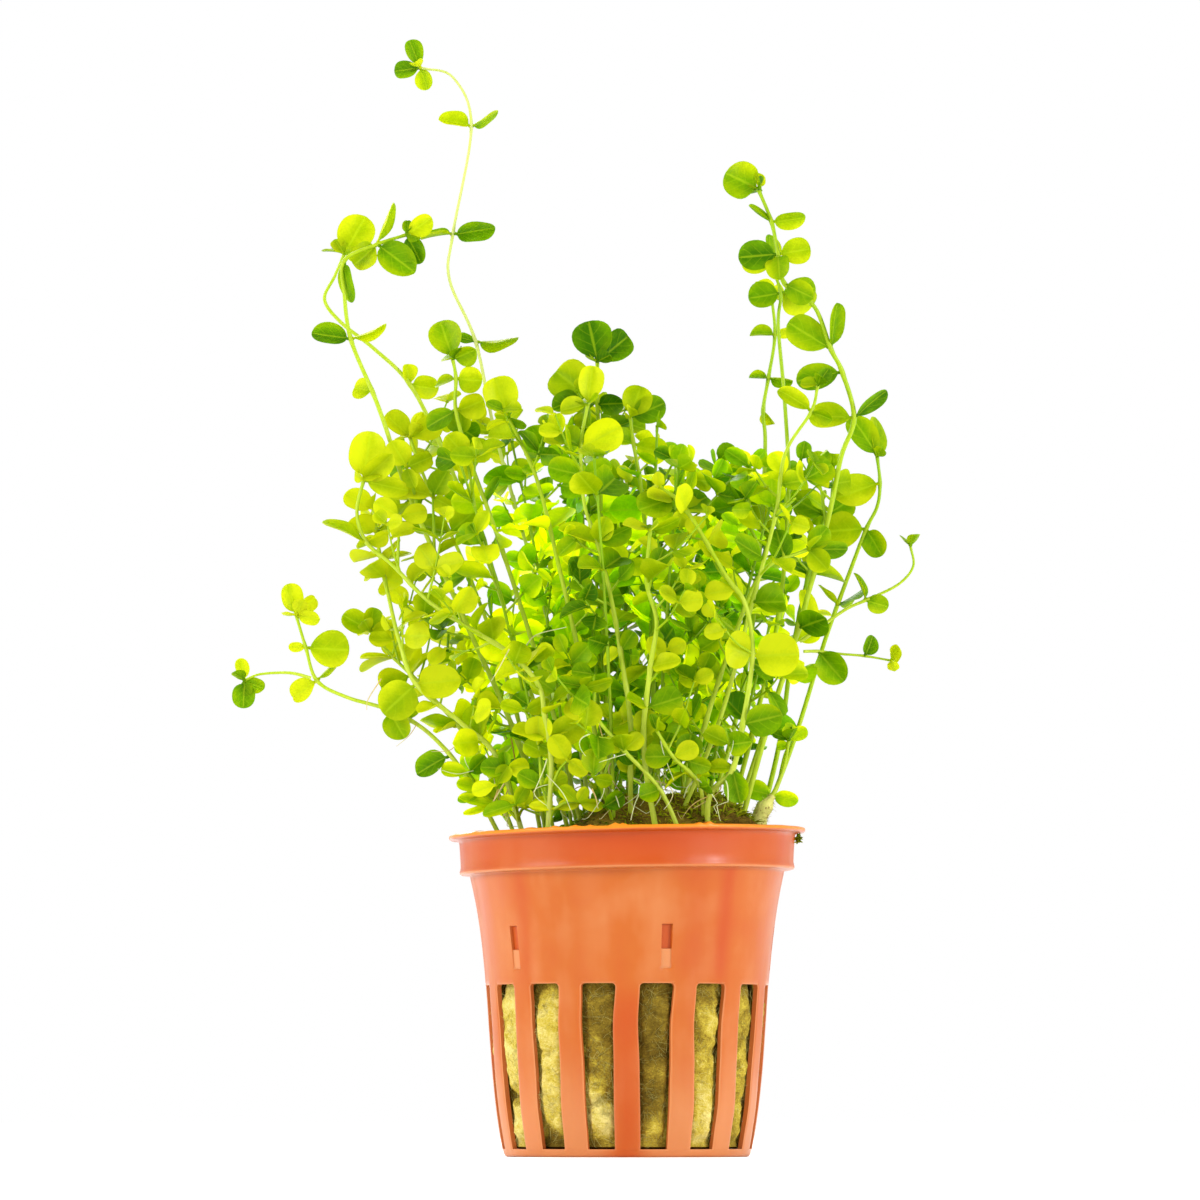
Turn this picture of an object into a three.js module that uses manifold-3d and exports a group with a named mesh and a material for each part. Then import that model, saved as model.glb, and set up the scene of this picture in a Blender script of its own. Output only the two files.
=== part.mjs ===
// Giant baby tears growing in a stone wool plug in a small slotted net pot.
// Millimetres, +Z up. The origin is the middle of the pot's flat foot.

import * as THREE from "three";
import { mergeVertices } from "three/addons/utils/BufferGeometryUtils.js";
import Module from "manifold-3d";

const wasm = await Module();
wasm.setup();

// Driving dimensions of the pot
const WALL = 0.9;
const RIM_RADIUS = 27;
const RIM_TOP = 49.05;
const RIM_THICKNESS = 0.8;
const RIM_FILLET = 0.3;
const COLLAR_BOTTOM = 42.9;
const COLLAR_RADII = [25.2, 25.5];
const FOOT_THICKNESS = 0.9;
const WALL_PROFILE = [[18.6, 0], [20.7, 15.5], [21.2, 26], [22.6, 35.5], [23.8, 42.7]];
const POT_FACETS = 30;
const SLOT = { count: 15, first: 12, bottom: 1.2, top: 25.8, widths: [4.1, 5.3], inner: 16, outer: 24 };
const LUG_ANGLES = [-50, 15.4, 86, 160.7, 235.3];
const LUG = { width: 1.5, bottom: 28, top: 34.5, inner: 21.7, outer: 24 };
const DRAIN = { count: 5, inner: 7, outer: 14.5, width: 3 };

// The pot's upper part leans: rise for each millimetre to the right, from one height to another
const LEAN = { slope: 0.023, from: 27, to: 50 };

// Driving dimensions of the plug. Its lumps are waves round it and up it.
const GAP = 0.35;
const PLUG_FACETS = 20;
const PLUG_TOP = 48.6;
const SHOULDER = { radius: 23.2, drop: 1, bedRadius: 21.6, middleRadius: 14 };
const LUMP = { depth: 0.045, margin: 2, around: [7, 3], up: [0.45, -0.31] };
const MOUND = { x: 5.5, y: 0, halfX: 11.5, halfY: 15, height: 5.6, fade: 5 };
const SOCKET = { rootDepth: 2.5, rise: 6, swell: 1.9, clearance: 0.2 };
const MOSS = { halves: [0.35, 0.7, 0.85], middle: [26.3, -1.5, 47.5], facets: [6, 3] };

// Driving dimensions of the foliage. A stem's corners stand out by its swell, which keeps its
// mean radius. A blade's outline is in shares of its length and width from the node.
const STEM_SIDES = 3;
const STEM_SWELL = 1.2;
const BLADE_OUTLINE = [[0, 0], [0.36, 0.5], [0.88, 0.33], [0.88, -0.33], [0.36, -0.5]];
const BLADE = { above: 0.375, below: 0.125, peak: 0.45, stalk: 0.12 };
const MERGE = 0.1;
const VIEW_DISTANCE = 1100;
const VIEW_X = -4;
const LEAF_LENGTH = 5.6;
const TIP_SHARE = 0.7;
const LEAF_WIDTH_SHARE = 0.84;

// Opposite pairs: twist and rise of a pair, spread of the way its leaves face, spread of size
const PAIR = { twist: 1.1, rise: [0.15, 0.5], wander: 1.3, outward: 0.45, upward: 0.5, size: [0.82, 0.36] };

// Room kept between blades and stems. A blade counts as a flat oval, in shares of its size.
const OVAL = { middle: 0.55, halfLength: 0.45, halfWidth: 0.5, rings: [[6, 0.5], [12, 1]], margin: 0.6 };
const BLADE_CLEARANCE = 0.85;
const STEM_CLEARANCE = 2.1;
const STEM_ROOM = 0.65;
const PAIR_REACH = 1.1;
const SAME_NODE = 0.1;
const TRAIL_STEPS = 14;

// Colours
const POT_ORANGE = 0xe4733a;
const WOOL_OLIVE = 0xa89a4c;
const LEAF_GREEN = 0x7db31a;
const LEAF_LIME = 0xa9cc25;
const MOSS_GREEN = 0x3f5a1c;

const materials = {
  pot: new THREE.MeshStandardMaterial({ color: POT_ORANGE, roughness: 0.4, metalness: 0 }),
  wool: new THREE.MeshStandardMaterial({ color: WOOL_OLIVE, roughness: 0.95, metalness: 0 }),
  leaf: new THREE.MeshStandardMaterial({ color: LEAF_GREEN, roughness: 0.5, metalness: 0 }),
  lime: new THREE.MeshStandardMaterial({ color: LEAF_LIME, roughness: 0.5, metalness: 0 }),
  moss: new THREE.MeshStandardMaterial({ color: MOSS_GREEN, roughness: 0.9, metalness: 0 }),
};

// Shoots that can be told apart from the front. Each has its stem's route from the plug
// outwards as [across, depth, height], its leaves as [route point, direction in degrees,
// length, width, turn out of the front view, tilt away from the viewer], and the route
// points that carry an ordinary opposite pair.
const TRACED = [
  { name: "tall_left", radius: 0.42,
    route: [[-5, 4, 48], [-8, 6, 66], [-14, 8, 88], [-20, 10, 109.5], [-23, 11, 123.5], [-27, 11, 133],
      [-26.5, 11, 140], [-23.7, 10, 156.5], [-26.5, 9, 164], [-31.5, 8, 165.5]],
    leaves: [[4, -3, 6.7, 3.6, 70, 10], [4, 165, 3, 2.2, 40, 10], [6, 7, 6.6, 4.6, 52, 0],
      [6, 177, 4.9, 3, 75, 0], [7, 166, 5.2, 3.6, 35, 0], [7, 22, 5, 3, 70, 15],
      [9, 112, 4.6, 3.1, 15, 0], [9, 186, 4.2, 3, 5, 20], [9, -72, 3.6, 3, 25, 0]],
    pairs: [2] },
  { name: "left_bow", radius: 0.45,
    route: [[-11, -3, 46], [-17, -4, 64], [-25, -5, 82], [-33, -5, 100], [-37, -5, 111.5], [-38.7, -5, 116],
      [-42, -5, 124], [-43, -5, 131], [-43, -5, 136], [-38, -5, 138.5], [-33.5, -5, 140]],
    leaves: [[5, 165, 3.4, 4, 10, 25], [6, 172, 6, 4, 30, 0], [6, 15, 5.8, 3, 72, 0],
      [8, -86, 6.4, 3.5, 50, 0], [9, 72, 6.8, 3, 72, 0], [9, -38, 7.4, 5.6, 0, -15],
      [9, 222, 5, 4, 20, 30], [10, 32, 4.6, 3.6, 20, 0], [10, -62, 5, 3.8, 15, 0]],
    pairs: [2] },
  { name: "left_loop", radius: 0.42,
    route: [[-8, 9, 46], [-14, 9, 68], [-21, 8, 90], [-28, 7, 107], [-33, 6, 117], [-38.5, 4.5, 122.5],
      [-43.5, 3.5, 126.5], [-46, 3, 130], [-44.5, 3, 133.5], [-43, 2.6, 137]],
    leaves: [[4, -8, 4.8, 4, 10, 20], [4, 100, 3.2, 2.6, 30, 0], [9, 62, 7, 6, 0, 10],
      [9, 150, 4, 3, 60, 30]],
    pairs: [2] },
  { name: "left_crown", radius: 0.42,
    route: [[-6, -5, 46], [-12, -7, 70], [-19, -8, 92], [-24, -8, 106], [-26, -7.5, 113], [-26, -7, 118],
      [-26.5, -7, 121]],
    leaves: [[5, -5, 4, 3.8, 10, 0], [5, 190, 3.6, 3, 50, 20], [6, 108, 6.2, 5.4, 0, 0],
      [6, 20, 4, 3.6, 35, -20], [4, 20, 4.6, 4, 20, 0], [4, 205, 5, 4, 15, 0]],
    pairs: [2] },
  { name: "left_fork", radius: 0.4,
    route: [[-12.5, 6, 46], [-17, 3, 68], [-24, 0.5, 88], [-30, 0, 101], [-33, 0.5, 109]],
    leaves: [[4, 140, 5, 4.2, 25, 0], [4, 25, 5.4, 4.6, 20, -10], [3, 170, 6.5, 5, 20, 0]],
    pairs: [2] },
  { name: "round_left", radius: 0.42,
    route: [[-2, -9, 48], [-6, -10, 70], [-10, -11, 88], [-13.5, -10, 102], [-16.5, -9, 109], [-18, -9, 112]],
    leaves: [[5, 108, 6.4, 5.6, 0, 0], [5, -20, 3, 2.4, 50, 0]],
    pairs: [2] },
  { name: "long_sweep", radius: 0.45,
    route: [[-12, -16, 46.5], [-11.5, -18, 59.5], [-12.5, -18.5, 67], [-13.5, -18, 71.5], [-17.5, -17, 76],
      [-23, -16, 79.5], [-30, -13, 84], [-35.5, -10, 89.5], [-39.5, -9, 93], [-41, -8, 97.5],
      [-40, -7, 102.5]],
    leaves: [[10, 82, 7.6, 6, 0, 0], [10, -16, 7, 3.8, 20, -10], [8, 150, 7.4, 3.6, 60, 0],
      [8, 20, 4, 3, 30, 20], [10, 40, 6.8, 4.2, 20, -30]],
    pairs: [1, 3, 5, 7] },
  { name: "left_rise", radius: 0.45,
    route: [[-15, -11, 46], [-19.5, -12, 60], [-25, -13, 65.5], [-32, -12.5, 71.5], [-34.5, -10, 78],
      [-36, -6, 84], [-37.5, -2, 91], [-38.5, 1, 98]],
    leaves: [[3, 5, 6.8, 6, 0, -10], [3, 222, 6.6, 6.2, 0, 0], [7, 150, 5, 4.2, 30, 0]],
    pairs: [1, 5, 6] },
  { name: "low_reach", radius: 0.4,
    route: [[-18, -6, 46], [-24, -8, 57], [-30, -9, 64], [-36, -10, 67.5], [-42.5, -10, 69.5], [-47, -9, 72],
      [-48.7, -8, 77], [-50.2, -7, 82]],
    leaves: [[3, -62, 4.8, 4.6, 10, 0], [5, 215, 5, 4.2, 20, 32], [5, 47, 6.2, 3, 75, 20],
      [6, -4, 6.6, 6, 0, 0], [6, 178, 2.6, 1.8, 20, 0], [7, 104, 4.8, 3.5, 10, 0],
      [7, 42, 4.2, 2.8, 20, 20], [7, -12, 4, 2.6, 25, -20]],
    pairs: [1, 2] },
  { name: "left_runner", radius: 0.3, branch: true,
    route: [[-47.9, -9.6, 72.4], [-50.5, -9.8, 73.1], [-53, -10, 73.2], [-56, -10, 72.9], [-58, -10, 72]],
    leaves: [[4, 98, 3.5, 2.4, 10, 0], [4, -92, 4.2, 3.3, 0, 0], [4, -24, 3.6, 2.6, 15, 20]],
    pairs: [] },
  { name: "left_low", radius: 0.38,
    route: [[-16, 2, 46], [-22, 2.5, 60], [-30, 3, 70], [-35.5, 3.5, 75.5], [-39, 4, 79.5]],
    leaves: [[3, 184, 5, 3, 70, 0], [4, 150, 4.8, 3.9, 10, 0], [4, 82, 3.6, 3.4, 20, 0],
      [4, 10, 4.4, 3.6, 30, 20], [3, 30, 4.2, 3.4, 40, -20]],
    pairs: [1, 2] },
  { name: "right_stalk", radius: 0.42,
    route: [[11, 4, 47], [16, 7, 64], [19, 9, 80], [20.5, 10, 96.5], [21, 11, 108], [20.7, 11, 113],
      [21.5, 11, 118], [22.5, 10, 124.5], [22, 9, 130.5]],
    leaves: [[6, 176, 3, 2.6, 60, 0], [6, -6, 3.8, 3, 60, 0], [7, 168, 3.8, 3, 50, 0],
      [7, 12, 3, 2.6, 50, 0], [8, 130, 3.4, 3, 40, 20], [5, -60, 3, 2.4, 40, 30]],
    pairs: [2] },
  { name: "right_middle", radius: 0.42,
    route: [[14, -3, 46], [19, -3.5, 64], [23, -3.5, 82], [24.5, -3.5, 100], [24, -3, 114], [23, -2.5, 126],
      [23.4, -2, 131], [22, -1.5, 135]],
    leaves: [[6, 190, 5, 4.2, 5, 0], [6, 8, 5.4, 4.6, 10, 0], [6, -22, 7, 4.8, 25, 30],
      [7, 95, 5, 3.4, 45, 0], [7, 170, 4.6, 3.6, 0, 0]],
    pairs: [2] },
  { name: "right_arch", radius: 0.48,
    route: [[16, -9, 46], [21, -10, 64], [26, -10, 80], [30.5, -9, 96.5], [32.5, -9, 106], [34.5, -9, 112],
      [32.7, -10, 119], [31, -11, 122.5], [28.5, -12, 129], [24, -13, 132.5], [23, -13, 137], [22, -12, 142],
      [20, -11, 147]],
    leaves: [[5, 176, 6.8, 4.7, 15, 0], [5, 44, 6.4, 3.4, 50, 0], [6, 190, 7, 4.9, 5, 0],
      [7, 148, 7.6, 5.9, 0, 0], [7, 86, 7, 3.6, 40, 0], [9, -30, 5, 4, 20, -20],
      [10, 184, 6, 5.2, 5, 0], [10, 10, 5, 4.8, 5, 0], [10, -88, 4.6, 4.2, 20, -30],
      [11, 4, 5.2, 3.4, 30, 0], [11, 150, 4.2, 2.4, 75, 0], [12, 152, 5.6, 5.4, 0, 0],
      [12, 84, 3, 2.2, 30, 20]],
    pairs: [2] },
  { name: "right_front", radius: 0.4,
    route: [[6.5, -12.5, 47.5], [14, -16, 66], [19, -17, 84], [22.5, -16, 97], [24, -15, 106.5],
      [28, -13, 113], [29, -12, 117]],
    leaves: [[5, 140, 6, 3.8, 25, 0], [5, -20, 3.4, 2.8, 40, 0], [6, 60, 3, 2.4, 30, 0],
      [6, 170, 2.6, 2, 30, 0]],
    pairs: [2] },
  { name: "right_hook", radius: 0.42,
    route: [[18.5, 3, 45.5], [25, 4, 62], [30, 5, 78], [34, 4, 89], [36.3, 3.5, 95], [38, 3, 98.5],
      [38.4, 3, 102], [38, 3, 106]],
    leaves: [[4, 182, 6, 6, 5, 0], [4, -58, 4.8, 4, 20, 0], [7, 118, 7.4, 4.4, 15, 0],
      [7, 84, 8, 3.4, 40, 30], [6, 200, 7.6, 5.8, 10, -15]],
    pairs: [2] },
  { name: "right_inner", radius: 0.45,
    route: [[7, -8, 48], [12, -13, 66], [16, -15, 78], [20.5, -14.5, 88.5], [27.5, -12, 92]],
    leaves: [[4, 48, 4.4, 4, 15, 0], [4, -46, 4.2, 4, 10, 0], [4, 2, 6.4, 3.8, 35, 20]],
    pairs: [2] },
  { name: "right_prop", radius: 0.48,
    route: [[19, 8, 45.5], [23, 8, 62], [25, 8, 76], [27.5, 7, 88], [30, 6, 97]],
    leaves: [[4, 150, 5.6, 5, 15, 0], [4, 30, 5.2, 4.4, 20, 0]],
    pairs: [2] },
  { name: "dry_stem", radius: 0.45,
    route: [[15, 0.5, 46], [19, -1, 59], [22.5, -2, 69], [25.5, -3, 76.6]],
    leaves: [],
    pairs: [1, 2] },
  { name: "dry_twig", radius: 0.32, branch: true,
    route: [[26.2, -3.4, 77.9], [28.5, -4, 79.5], [33, -4, 82.7], [36.2, -4, 84.2], [41, -4, 86.5],
      [43.4, -4, 89.3], [43, -4, 92.5]],
    leaves: [[3, 100, 4.4, 2.4, 75, 0], [3, -18, 3.6, 3.1, 10, 0], [1, 108, 6.6, 3.4, 30, 0]],
    pairs: [] },
  { name: "dry_twig_low", radius: 0.28, branch: true,
    route: [[26.8, -2.4, 76.4], [29, -1.5, 76.4], [32.5, -1, 76], [36, -1, 75.7], [40, -1, 75]],
    leaves: [[3, 62, 3.4, 2.8, 20, 0], [1, -50, 6, 4.6, 10, 0]],
    pairs: [] },
  { name: "front_right", radius: 0.5,
    route: [[12, -16.5, 46.5], [12.5, -18, 54.5], [16, -19, 58.7], [17.5, -20, 65.5], [19, -20, 75.8],
      [18, -21, 83.5], [15, -21, 88], [9, -20, 98], [5, -19, 101.5]],
    leaves: [[4, 162, 5, 6, 10, -25], [4, 2, 7, 6.2, 0, 0], [3, 12, 6, 5.2, 10, 0],
      [2, -78, 5.2, 4.2, 10, 0], [2, 170, 3.6, 3, 25, 0]],
    pairs: [6, 7] },
  { name: "rim_shoot", radius: 0.4, thickBase: 1.2,
    route: [[19.8, -7.5, 46.5], [19.9, -7.5, 51], [22, -7.3, 54.6], [23.3, -7, 57.5], [24, -7, 60],
      [24.5, -7, 63]],
    leaves: [[2, -14, 4, 2.7, 15, 0], [2, 166, 4.2, 3.7, 10, 0], [5, 32, 3.2, 2.6, 20, 0],
      [5, 152, 2.6, 2, 30, 0], [5, 84, 2.8, 2.2, 30, 20]],
    pairs: [] },
  { name: "front_middle", radius: 0.5,
    route: [[4.5, -17.5, 47], [2.5, -20, 62], [3.5, -22, 74], [4.5, -22.5, 81], [3, -23, 87], [3.5, -23, 95]],
    leaves: [[5, 166, 4.2, 3, 55, 0], [5, 8, 4.6, 3, 55, 0]],
    pairs: [1] },
  { name: "front_crown", radius: 0.45,
    route: [[0.5, -13, 47.5], [0.5, -17, 58], [0.5, -18, 66], [-1, -18, 76.5], [-2.5, -18, 85],
      [-4.5, -17, 93], [-6.5, -15, 99], [-7, -13, 107.5], [-6, -12, 114]],
    leaves: [[5, 160, 6.2, 3.4, 45, 0], [5, 24, 5.6, 3.4, 45, 0], [3, 58, 3.6, 3, 20, 0],
      [3, 200, 3.4, 3, 40, 20], [7, 28, 6.8, 5, 10, 0], [8, 82, 6, 4.4, 5, 0], [8, 190, 4.4, 3.6, 30, 20]],
    pairs: [1, 2, 6] },
  { name: "front_low_left", radius: 0.4,
    route: [[8.5, -18.3, 46.5], [5, -20, 55.5], [-0.5, -22, 61.5], [-5, -22, 67], [-6.5, -22, 71]],
    leaves: [[4, 166, 4.2, 2.8, 50, 0], [4, 12, 4.4, 2.8, 45, 0], [2, 150, 3.4, 2.6, 15, 0],
      [2, 42, 3.6, 2.8, 15, 0], [1, 200, 3.6, 3.4, 10, -20]],
    pairs: [] },
  { name: "front_low_right", radius: 0.38,
    route: [[11.5, -13.5, 47], [11, -18.5, 56], [7, -22, 60.5], [4.5, -22.5, 64.5]],
    leaves: [[2, 178, 4.2, 3.8, 10, 0], [2, 25, 4, 3.5, 10, 0], [3, 110, 2.6, 2, 30, 0]],
    pairs: [] },
  { name: "crown_left", radius: 0.45,
    route: [[-2, 7, 48], [-3, 9, 70], [-4, 9, 90], [-4, 8, 105], [-4.5, 7, 114], [-4.5, 6, 120.5]],
    leaves: [[5, 102, 6.4, 6, 0, 0], [5, 42, 6.8, 5.2, 10, 25], [4, 140, 8.8, 7.6, 0, 15],
      [4, 0, 4.4, 3.8, 20, -20]],
    pairs: [2] },
  { name: "crown_right", radius: 0.42,
    route: [[3, 2.5, 48], [4, 3, 75], [2.5, 3, 98], [1, 3, 108], [0.5, 3, 112]],
    leaves: [[4, 22, 5.8, 5, 10, 0], [4, 72, 5, 4.6, 10, 0], [3, -20, 5.4, 4.8, 15, 0],
      [3, 160, 4.4, 4, 30, 20]],
    pairs: [1, 2] },
];

// Ordinary shoots that fill the clump between the traced ones: where they root, how far and
// how high they reach, how they bend, and how a route is moved when it is tried again
const FILL = {
  count: 22,
  stemRadius: 0.4,
  spacing: 11.5,
  baseRadius: 18.5,
  centreX: -1,
  reachX: 37,
  reachY: 31,
  tall: { height: 108, droop: 9, wander: 6, reach: 1 },
  short: { height: 74, wander: 12, reach: 0.78, every: 3 },
  bend: { outward: 1.25, upward: 0.5 },
  retry: { most: 14, turn: 0.37, shift: 0.05 },
};
const GOLDEN_ANGLE = 2.399963;

// Length of a cross product under which two unit vectors count as parallel
const NEARLY_PARALLEL = 0.2;

// A repeatable value from 0 to 1 for a pair of keys
function scatter(a, b) {
  const wave = Math.sin(a * 12.9898 + b * 78.233) * 43758.5453;
  return wave - Math.floor(wave);
}

function smooth(edge0, edge1, value) {
  const t = Math.min(1, Math.max(0, (value - edge0) / (edge1 - edge0)));
  return t * t * (3 - 2 * t);
}

// Height of the plug's top: a flat bed with a mossy mound towards the right
function plugTop(x, y) {
  const across = 1 - smooth(MOUND.halfX - MOUND.fade, MOUND.halfX + MOUND.fade, Math.abs(x - MOUND.x));
  const deep = 1 - smooth(MOUND.halfY - MOUND.fade, MOUND.halfY + MOUND.fade, Math.abs(y - MOUND.y));
  return PLUG_TOP + MOUND.height * across * deep;
}

// The pot's upper part leans a little, so its right side stands higher
function settle(point) {
  point.z += LEAN.slope * point.x * smooth(LEAN.from, LEAN.to, point.z);
  return point;
}

function toSolid(geometry) {
  const bare = geometry.clone();
  bare.deleteAttribute("normal");
  bare.deleteAttribute("uv");
  const welded = mergeVertices(bare, 1e-5);
  return new wasm.Manifold(new wasm.Mesh({
    numProp: 3,
    vertProperties: new Float32Array(welded.attributes.position.array),
    triVerts: new Uint32Array(welded.index.array),
  }));
}

function toGeometry(solid) {
  const mesh = solid.getMesh();
  const geometry = new THREE.BufferGeometry();
  geometry.setAttribute("position", new THREE.BufferAttribute(new Float32Array(mesh.vertProperties), 3));
  geometry.setIndex(new THREE.BufferAttribute(new Uint32Array(mesh.triVerts), 1));
  geometry.computeVertexNormals();
  return geometry;
}

// A closed profile of [radius, height] turned about the Z axis
function turned(profile, facets) {
  const points = profile.map(([radius, height]) => new THREE.Vector2(radius, height));
  const geometry = new THREE.LatheGeometry(points, facets);
  geometry.rotateX(Math.PI / 2);
  return geometry;
}

// A flat outline [across, up] pushed radially outwards from one distance to another
function radialCutter(outline, inner, outer, degrees) {
  const shape = new THREE.Shape(outline.map(([across, up]) => new THREE.Vector2(across, up)));
  const geometry = new THREE.ExtrudeGeometry(shape, { depth: outer - inner, bevelEnabled: false });
  geometry.rotateX(Math.PI / 2);
  geometry.translate(0, -inner, 0);
  geometry.rotateZ(THREE.MathUtils.degToRad(degrees));
  return toSolid(geometry);
}

function potProfile() {
  const outer = WALL_PROFILE;
  const inner = outer.map(([radius, height]) => [radius - WALL, height]).reverse();
  inner[inner.length - 1] = [WALL_PROFILE[0][0] - WALL, FOOT_THICKNESS];
  const collarInner = COLLAR_RADII.map((radius) => radius - WALL);
  return [
    [0, 0],
    ...outer,
    [COLLAR_RADII[0], COLLAR_BOTTOM],
    [COLLAR_RADII[1], RIM_TOP - RIM_THICKNESS - RIM_FILLET],
    [RIM_RADIUS, RIM_TOP - RIM_THICKNESS],
    [RIM_RADIUS, RIM_TOP],
    [collarInner[1], RIM_TOP],
    [collarInner[0], COLLAR_BOTTOM + WALL],
    ...inner,
    [0, FOOT_THICKNESS],
  ];
}

// Evenly spaced cuts of one outline, all the way round
function cutAround(solid, outline, { count, inner, outer, first = 0 }) {
  let cut = solid;
  for (let i = 0; i < count; i += 1) {
    cut = cut.subtract(radialCutter(outline, inner, outer, first + (i * 360) / count));
  }
  return cut;
}

function buildPot() {
  let pot = toSolid(turned(potProfile(), POT_FACETS));
  const [low, high] = SLOT.widths.map((width) => width / 2);
  const slot = [[-low, SLOT.bottom], [low, SLOT.bottom], [high, SLOT.top], [-high, SLOT.top]];
  pot = cutAround(pot, slot, SLOT);
  const side = DRAIN.width / 2;
  const above = 2 * FOOT_THICKNESS;
  const hole = [[-side, -FOOT_THICKNESS], [side, -FOOT_THICKNESS], [side, above], [-side, above]];
  pot = cutAround(pot, hole, DRAIN);
  const half = LUG.width / 2;
  const shoulder = LUG.top - half;
  const recess = [[-half, LUG.bottom], [half, LUG.bottom], [half, shoulder], [0, LUG.top], [-half, shoulder]];
  for (const angle of LUG_ANGLES) {
    pot = pot.subtract(radialCutter(recess, LUG.inner, LUG.outer, angle));
  }
  return tidied(pot).warp((vertex) => {
    const moved = settle(new THREE.Vector3(...vertex));
    vertex[2] = moved.z;
  });
}

// Share of the plug's radius that a lump takes away
function lumpDepth(angle, height) {
  const waves = LUMP.around.map((turns, i) => Math.sin(angle * turns + height * LUMP.up[i]));
  return (LUMP.depth * (1 + waves[0] * waves[1])) / 2;
}

function buildPlug() {
  const sides = WALL_PROFILE.slice(1).map(([radius, height]) => [radius - WALL - GAP, height]);
  const floor = FOOT_THICKNESS + GAP;
  const profile = [
    [0, floor],
    [WALL_PROFILE[0][0] - WALL - GAP, floor],
    ...sides,
    [SHOULDER.radius, PLUG_TOP - SHOULDER.drop],
    [SHOULDER.bedRadius, PLUG_TOP],
    [SHOULDER.middleRadius, PLUG_TOP],
    [0, PLUG_TOP],
  ];
  const geometry = turned(profile, PLUG_FACETS);
  const position = geometry.attributes.position;
  for (let i = 0; i < position.count; i += 1) {
    const point = new THREE.Vector3().fromBufferAttribute(position, i);
    if (point.z > LUMP.margin && point.z < PLUG_TOP - LUMP.margin) {
      const kept = 1 - lumpDepth(Math.atan2(point.y, point.x), point.z);
      point.multiply(new THREE.Vector3(kept, kept, 1));
    }
    if (point.z > PLUG_TOP - SHOULDER.drop / 2) {
      point.z += plugTop(point.x, point.y) - PLUG_TOP;
    }
    settle(point);
    position.setXYZ(i, point.x, point.y, point.z);
  }
  return toSolid(geometry);
}

// A stem's route: a smooth curve that passes every route point at an even parameter
class StemCurve extends THREE.CatmullRomCurve3 {
  constructor(points) {
    super(points, false, "catmullrom", 0.5);
  }

  getUtoTmapping(u) {
    return u;
  }
}

function stemSolid(curve, radius, steps) {
  const section = new THREE.Shape();
  for (let i = 0; i < STEM_SIDES; i += 1) {
    const angle = (i * 2 * Math.PI) / STEM_SIDES;
    const corner = new THREE.Vector2(Math.cos(angle), Math.sin(angle)).multiplyScalar(radius * STEM_SWELL);
    if (i === 0) {
      section.moveTo(corner.x, corner.y);
    } else {
      section.lineTo(corner.x, corner.y);
    }
  }
  section.closePath();
  return toSolid(new THREE.ExtrudeGeometry(section, { steps, bevelEnabled: false, extrudePath: curve }));
}

// A point read off the front view, moved out to the depth that it lies at
function atDepth([across, depth, height], rooted) {
  const spread = rooted ? 1 : 1 + depth / VIEW_DISTANCE;
  return new THREE.Vector3(VIEW_X + (across - VIEW_X) * spread, depth, height * spread);
}

// Leaf from a node: direction in the front view, tilt away, and turn about its own axis
function tracedLeaf(node, [, degrees, length, width, turn, tilt]) {
  const direction = THREE.MathUtils.degToRad(degrees);
  const away = THREE.MathUtils.degToRad(tilt);
  const axis = new THREE.Vector3(
    Math.cos(away) * Math.cos(direction),
    Math.sin(away),
    Math.cos(away) * Math.sin(direction),
  );
  const viewer = new THREE.Vector3(0, -1, 0);
  const face = viewer.addScaledVector(axis, -viewer.dot(axis)).normalize();
  face.applyAxisAngle(axis, THREE.MathUtils.degToRad(turn));
  return { node, axis, face, length, width };
}

// A place along a shoot, on the straight line between the two route points beside it
function placeOn(shoot, place) {
  const below = Math.min(Math.floor(place), shoot.nodes.length - 2);
  const [low, high] = [shoot.nodes[below], shoot.nodes[below + 1]];
  return { node: low.clone().lerp(high, place - below), tangent: high.clone().sub(low).normalize() };
}

// Two opposite leaves, each pair turned a quarter from the pair below
function oppositePair(shoot, place, key, size) {
  const { node, tangent } = placeOn(shoot, place);
  const order = Math.round(2 * place);
  const side = new THREE.Vector3(1, 0, 0).cross(tangent);
  if (side.length() < NEARLY_PARALLEL) {
    side.set(0, 1, 0).cross(tangent);
  }
  side.normalize().applyAxisAngle(tangent, (order * Math.PI) / 2 + PAIR.twist * scatter(key, order));
  const pair = [];
  for (const sign of [1, -1]) {
    const draw = (channel) => scatter(key + 31 * channel + 7 * sign, order + 3.7 * channel);
    const within = ([least, spread], channel) => least + spread * draw(channel);
    const rise = within(PAIR.rise, 1);
    const axis = side.clone().multiplyScalar(sign * Math.cos(rise)).addScaledVector(tangent, Math.sin(rise));
    const outward = new THREE.Vector3(node.x, node.y, 0).normalize();
    const facing = new THREE.Vector3(draw(2) - 0.5, draw(3) - 0.5, draw(4) - 0.5).multiplyScalar(PAIR.wander);
    facing.addScaledVector(outward, PAIR.outward).add(new THREE.Vector3(0, 0, PAIR.upward));
    const face = facing.addScaledVector(axis, -facing.dot(axis)).normalize();
    const length = size * within(PAIR.size, 5);
    pair.push({ node, axis, face, length, width: length * LEAF_WIDTH_SHARE });
  }
  return pair;
}

// Points spread over a blade: its middle, half way out and the rim
function bladeSamples(leaf) {
  const side = new THREE.Vector3().crossVectors(leaf.face, leaf.axis);
  const middle = leaf.node.clone().addScaledVector(leaf.axis, leaf.length * OVAL.middle);
  const samples = [middle];
  for (const [count, share] of OVAL.rings) {
    for (let i = 0; i < count; i += 1) {
      const angle = (i * 2 * Math.PI) / count;
      const along = Math.cos(angle) * leaf.length * OVAL.halfLength * share;
      const across = Math.sin(angle) * leaf.width * OVAL.halfWidth * share;
      samples.push(middle.clone().addScaledVector(leaf.axis, along).addScaledVector(side, across));
    }
  }
  return samples;
}

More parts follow.
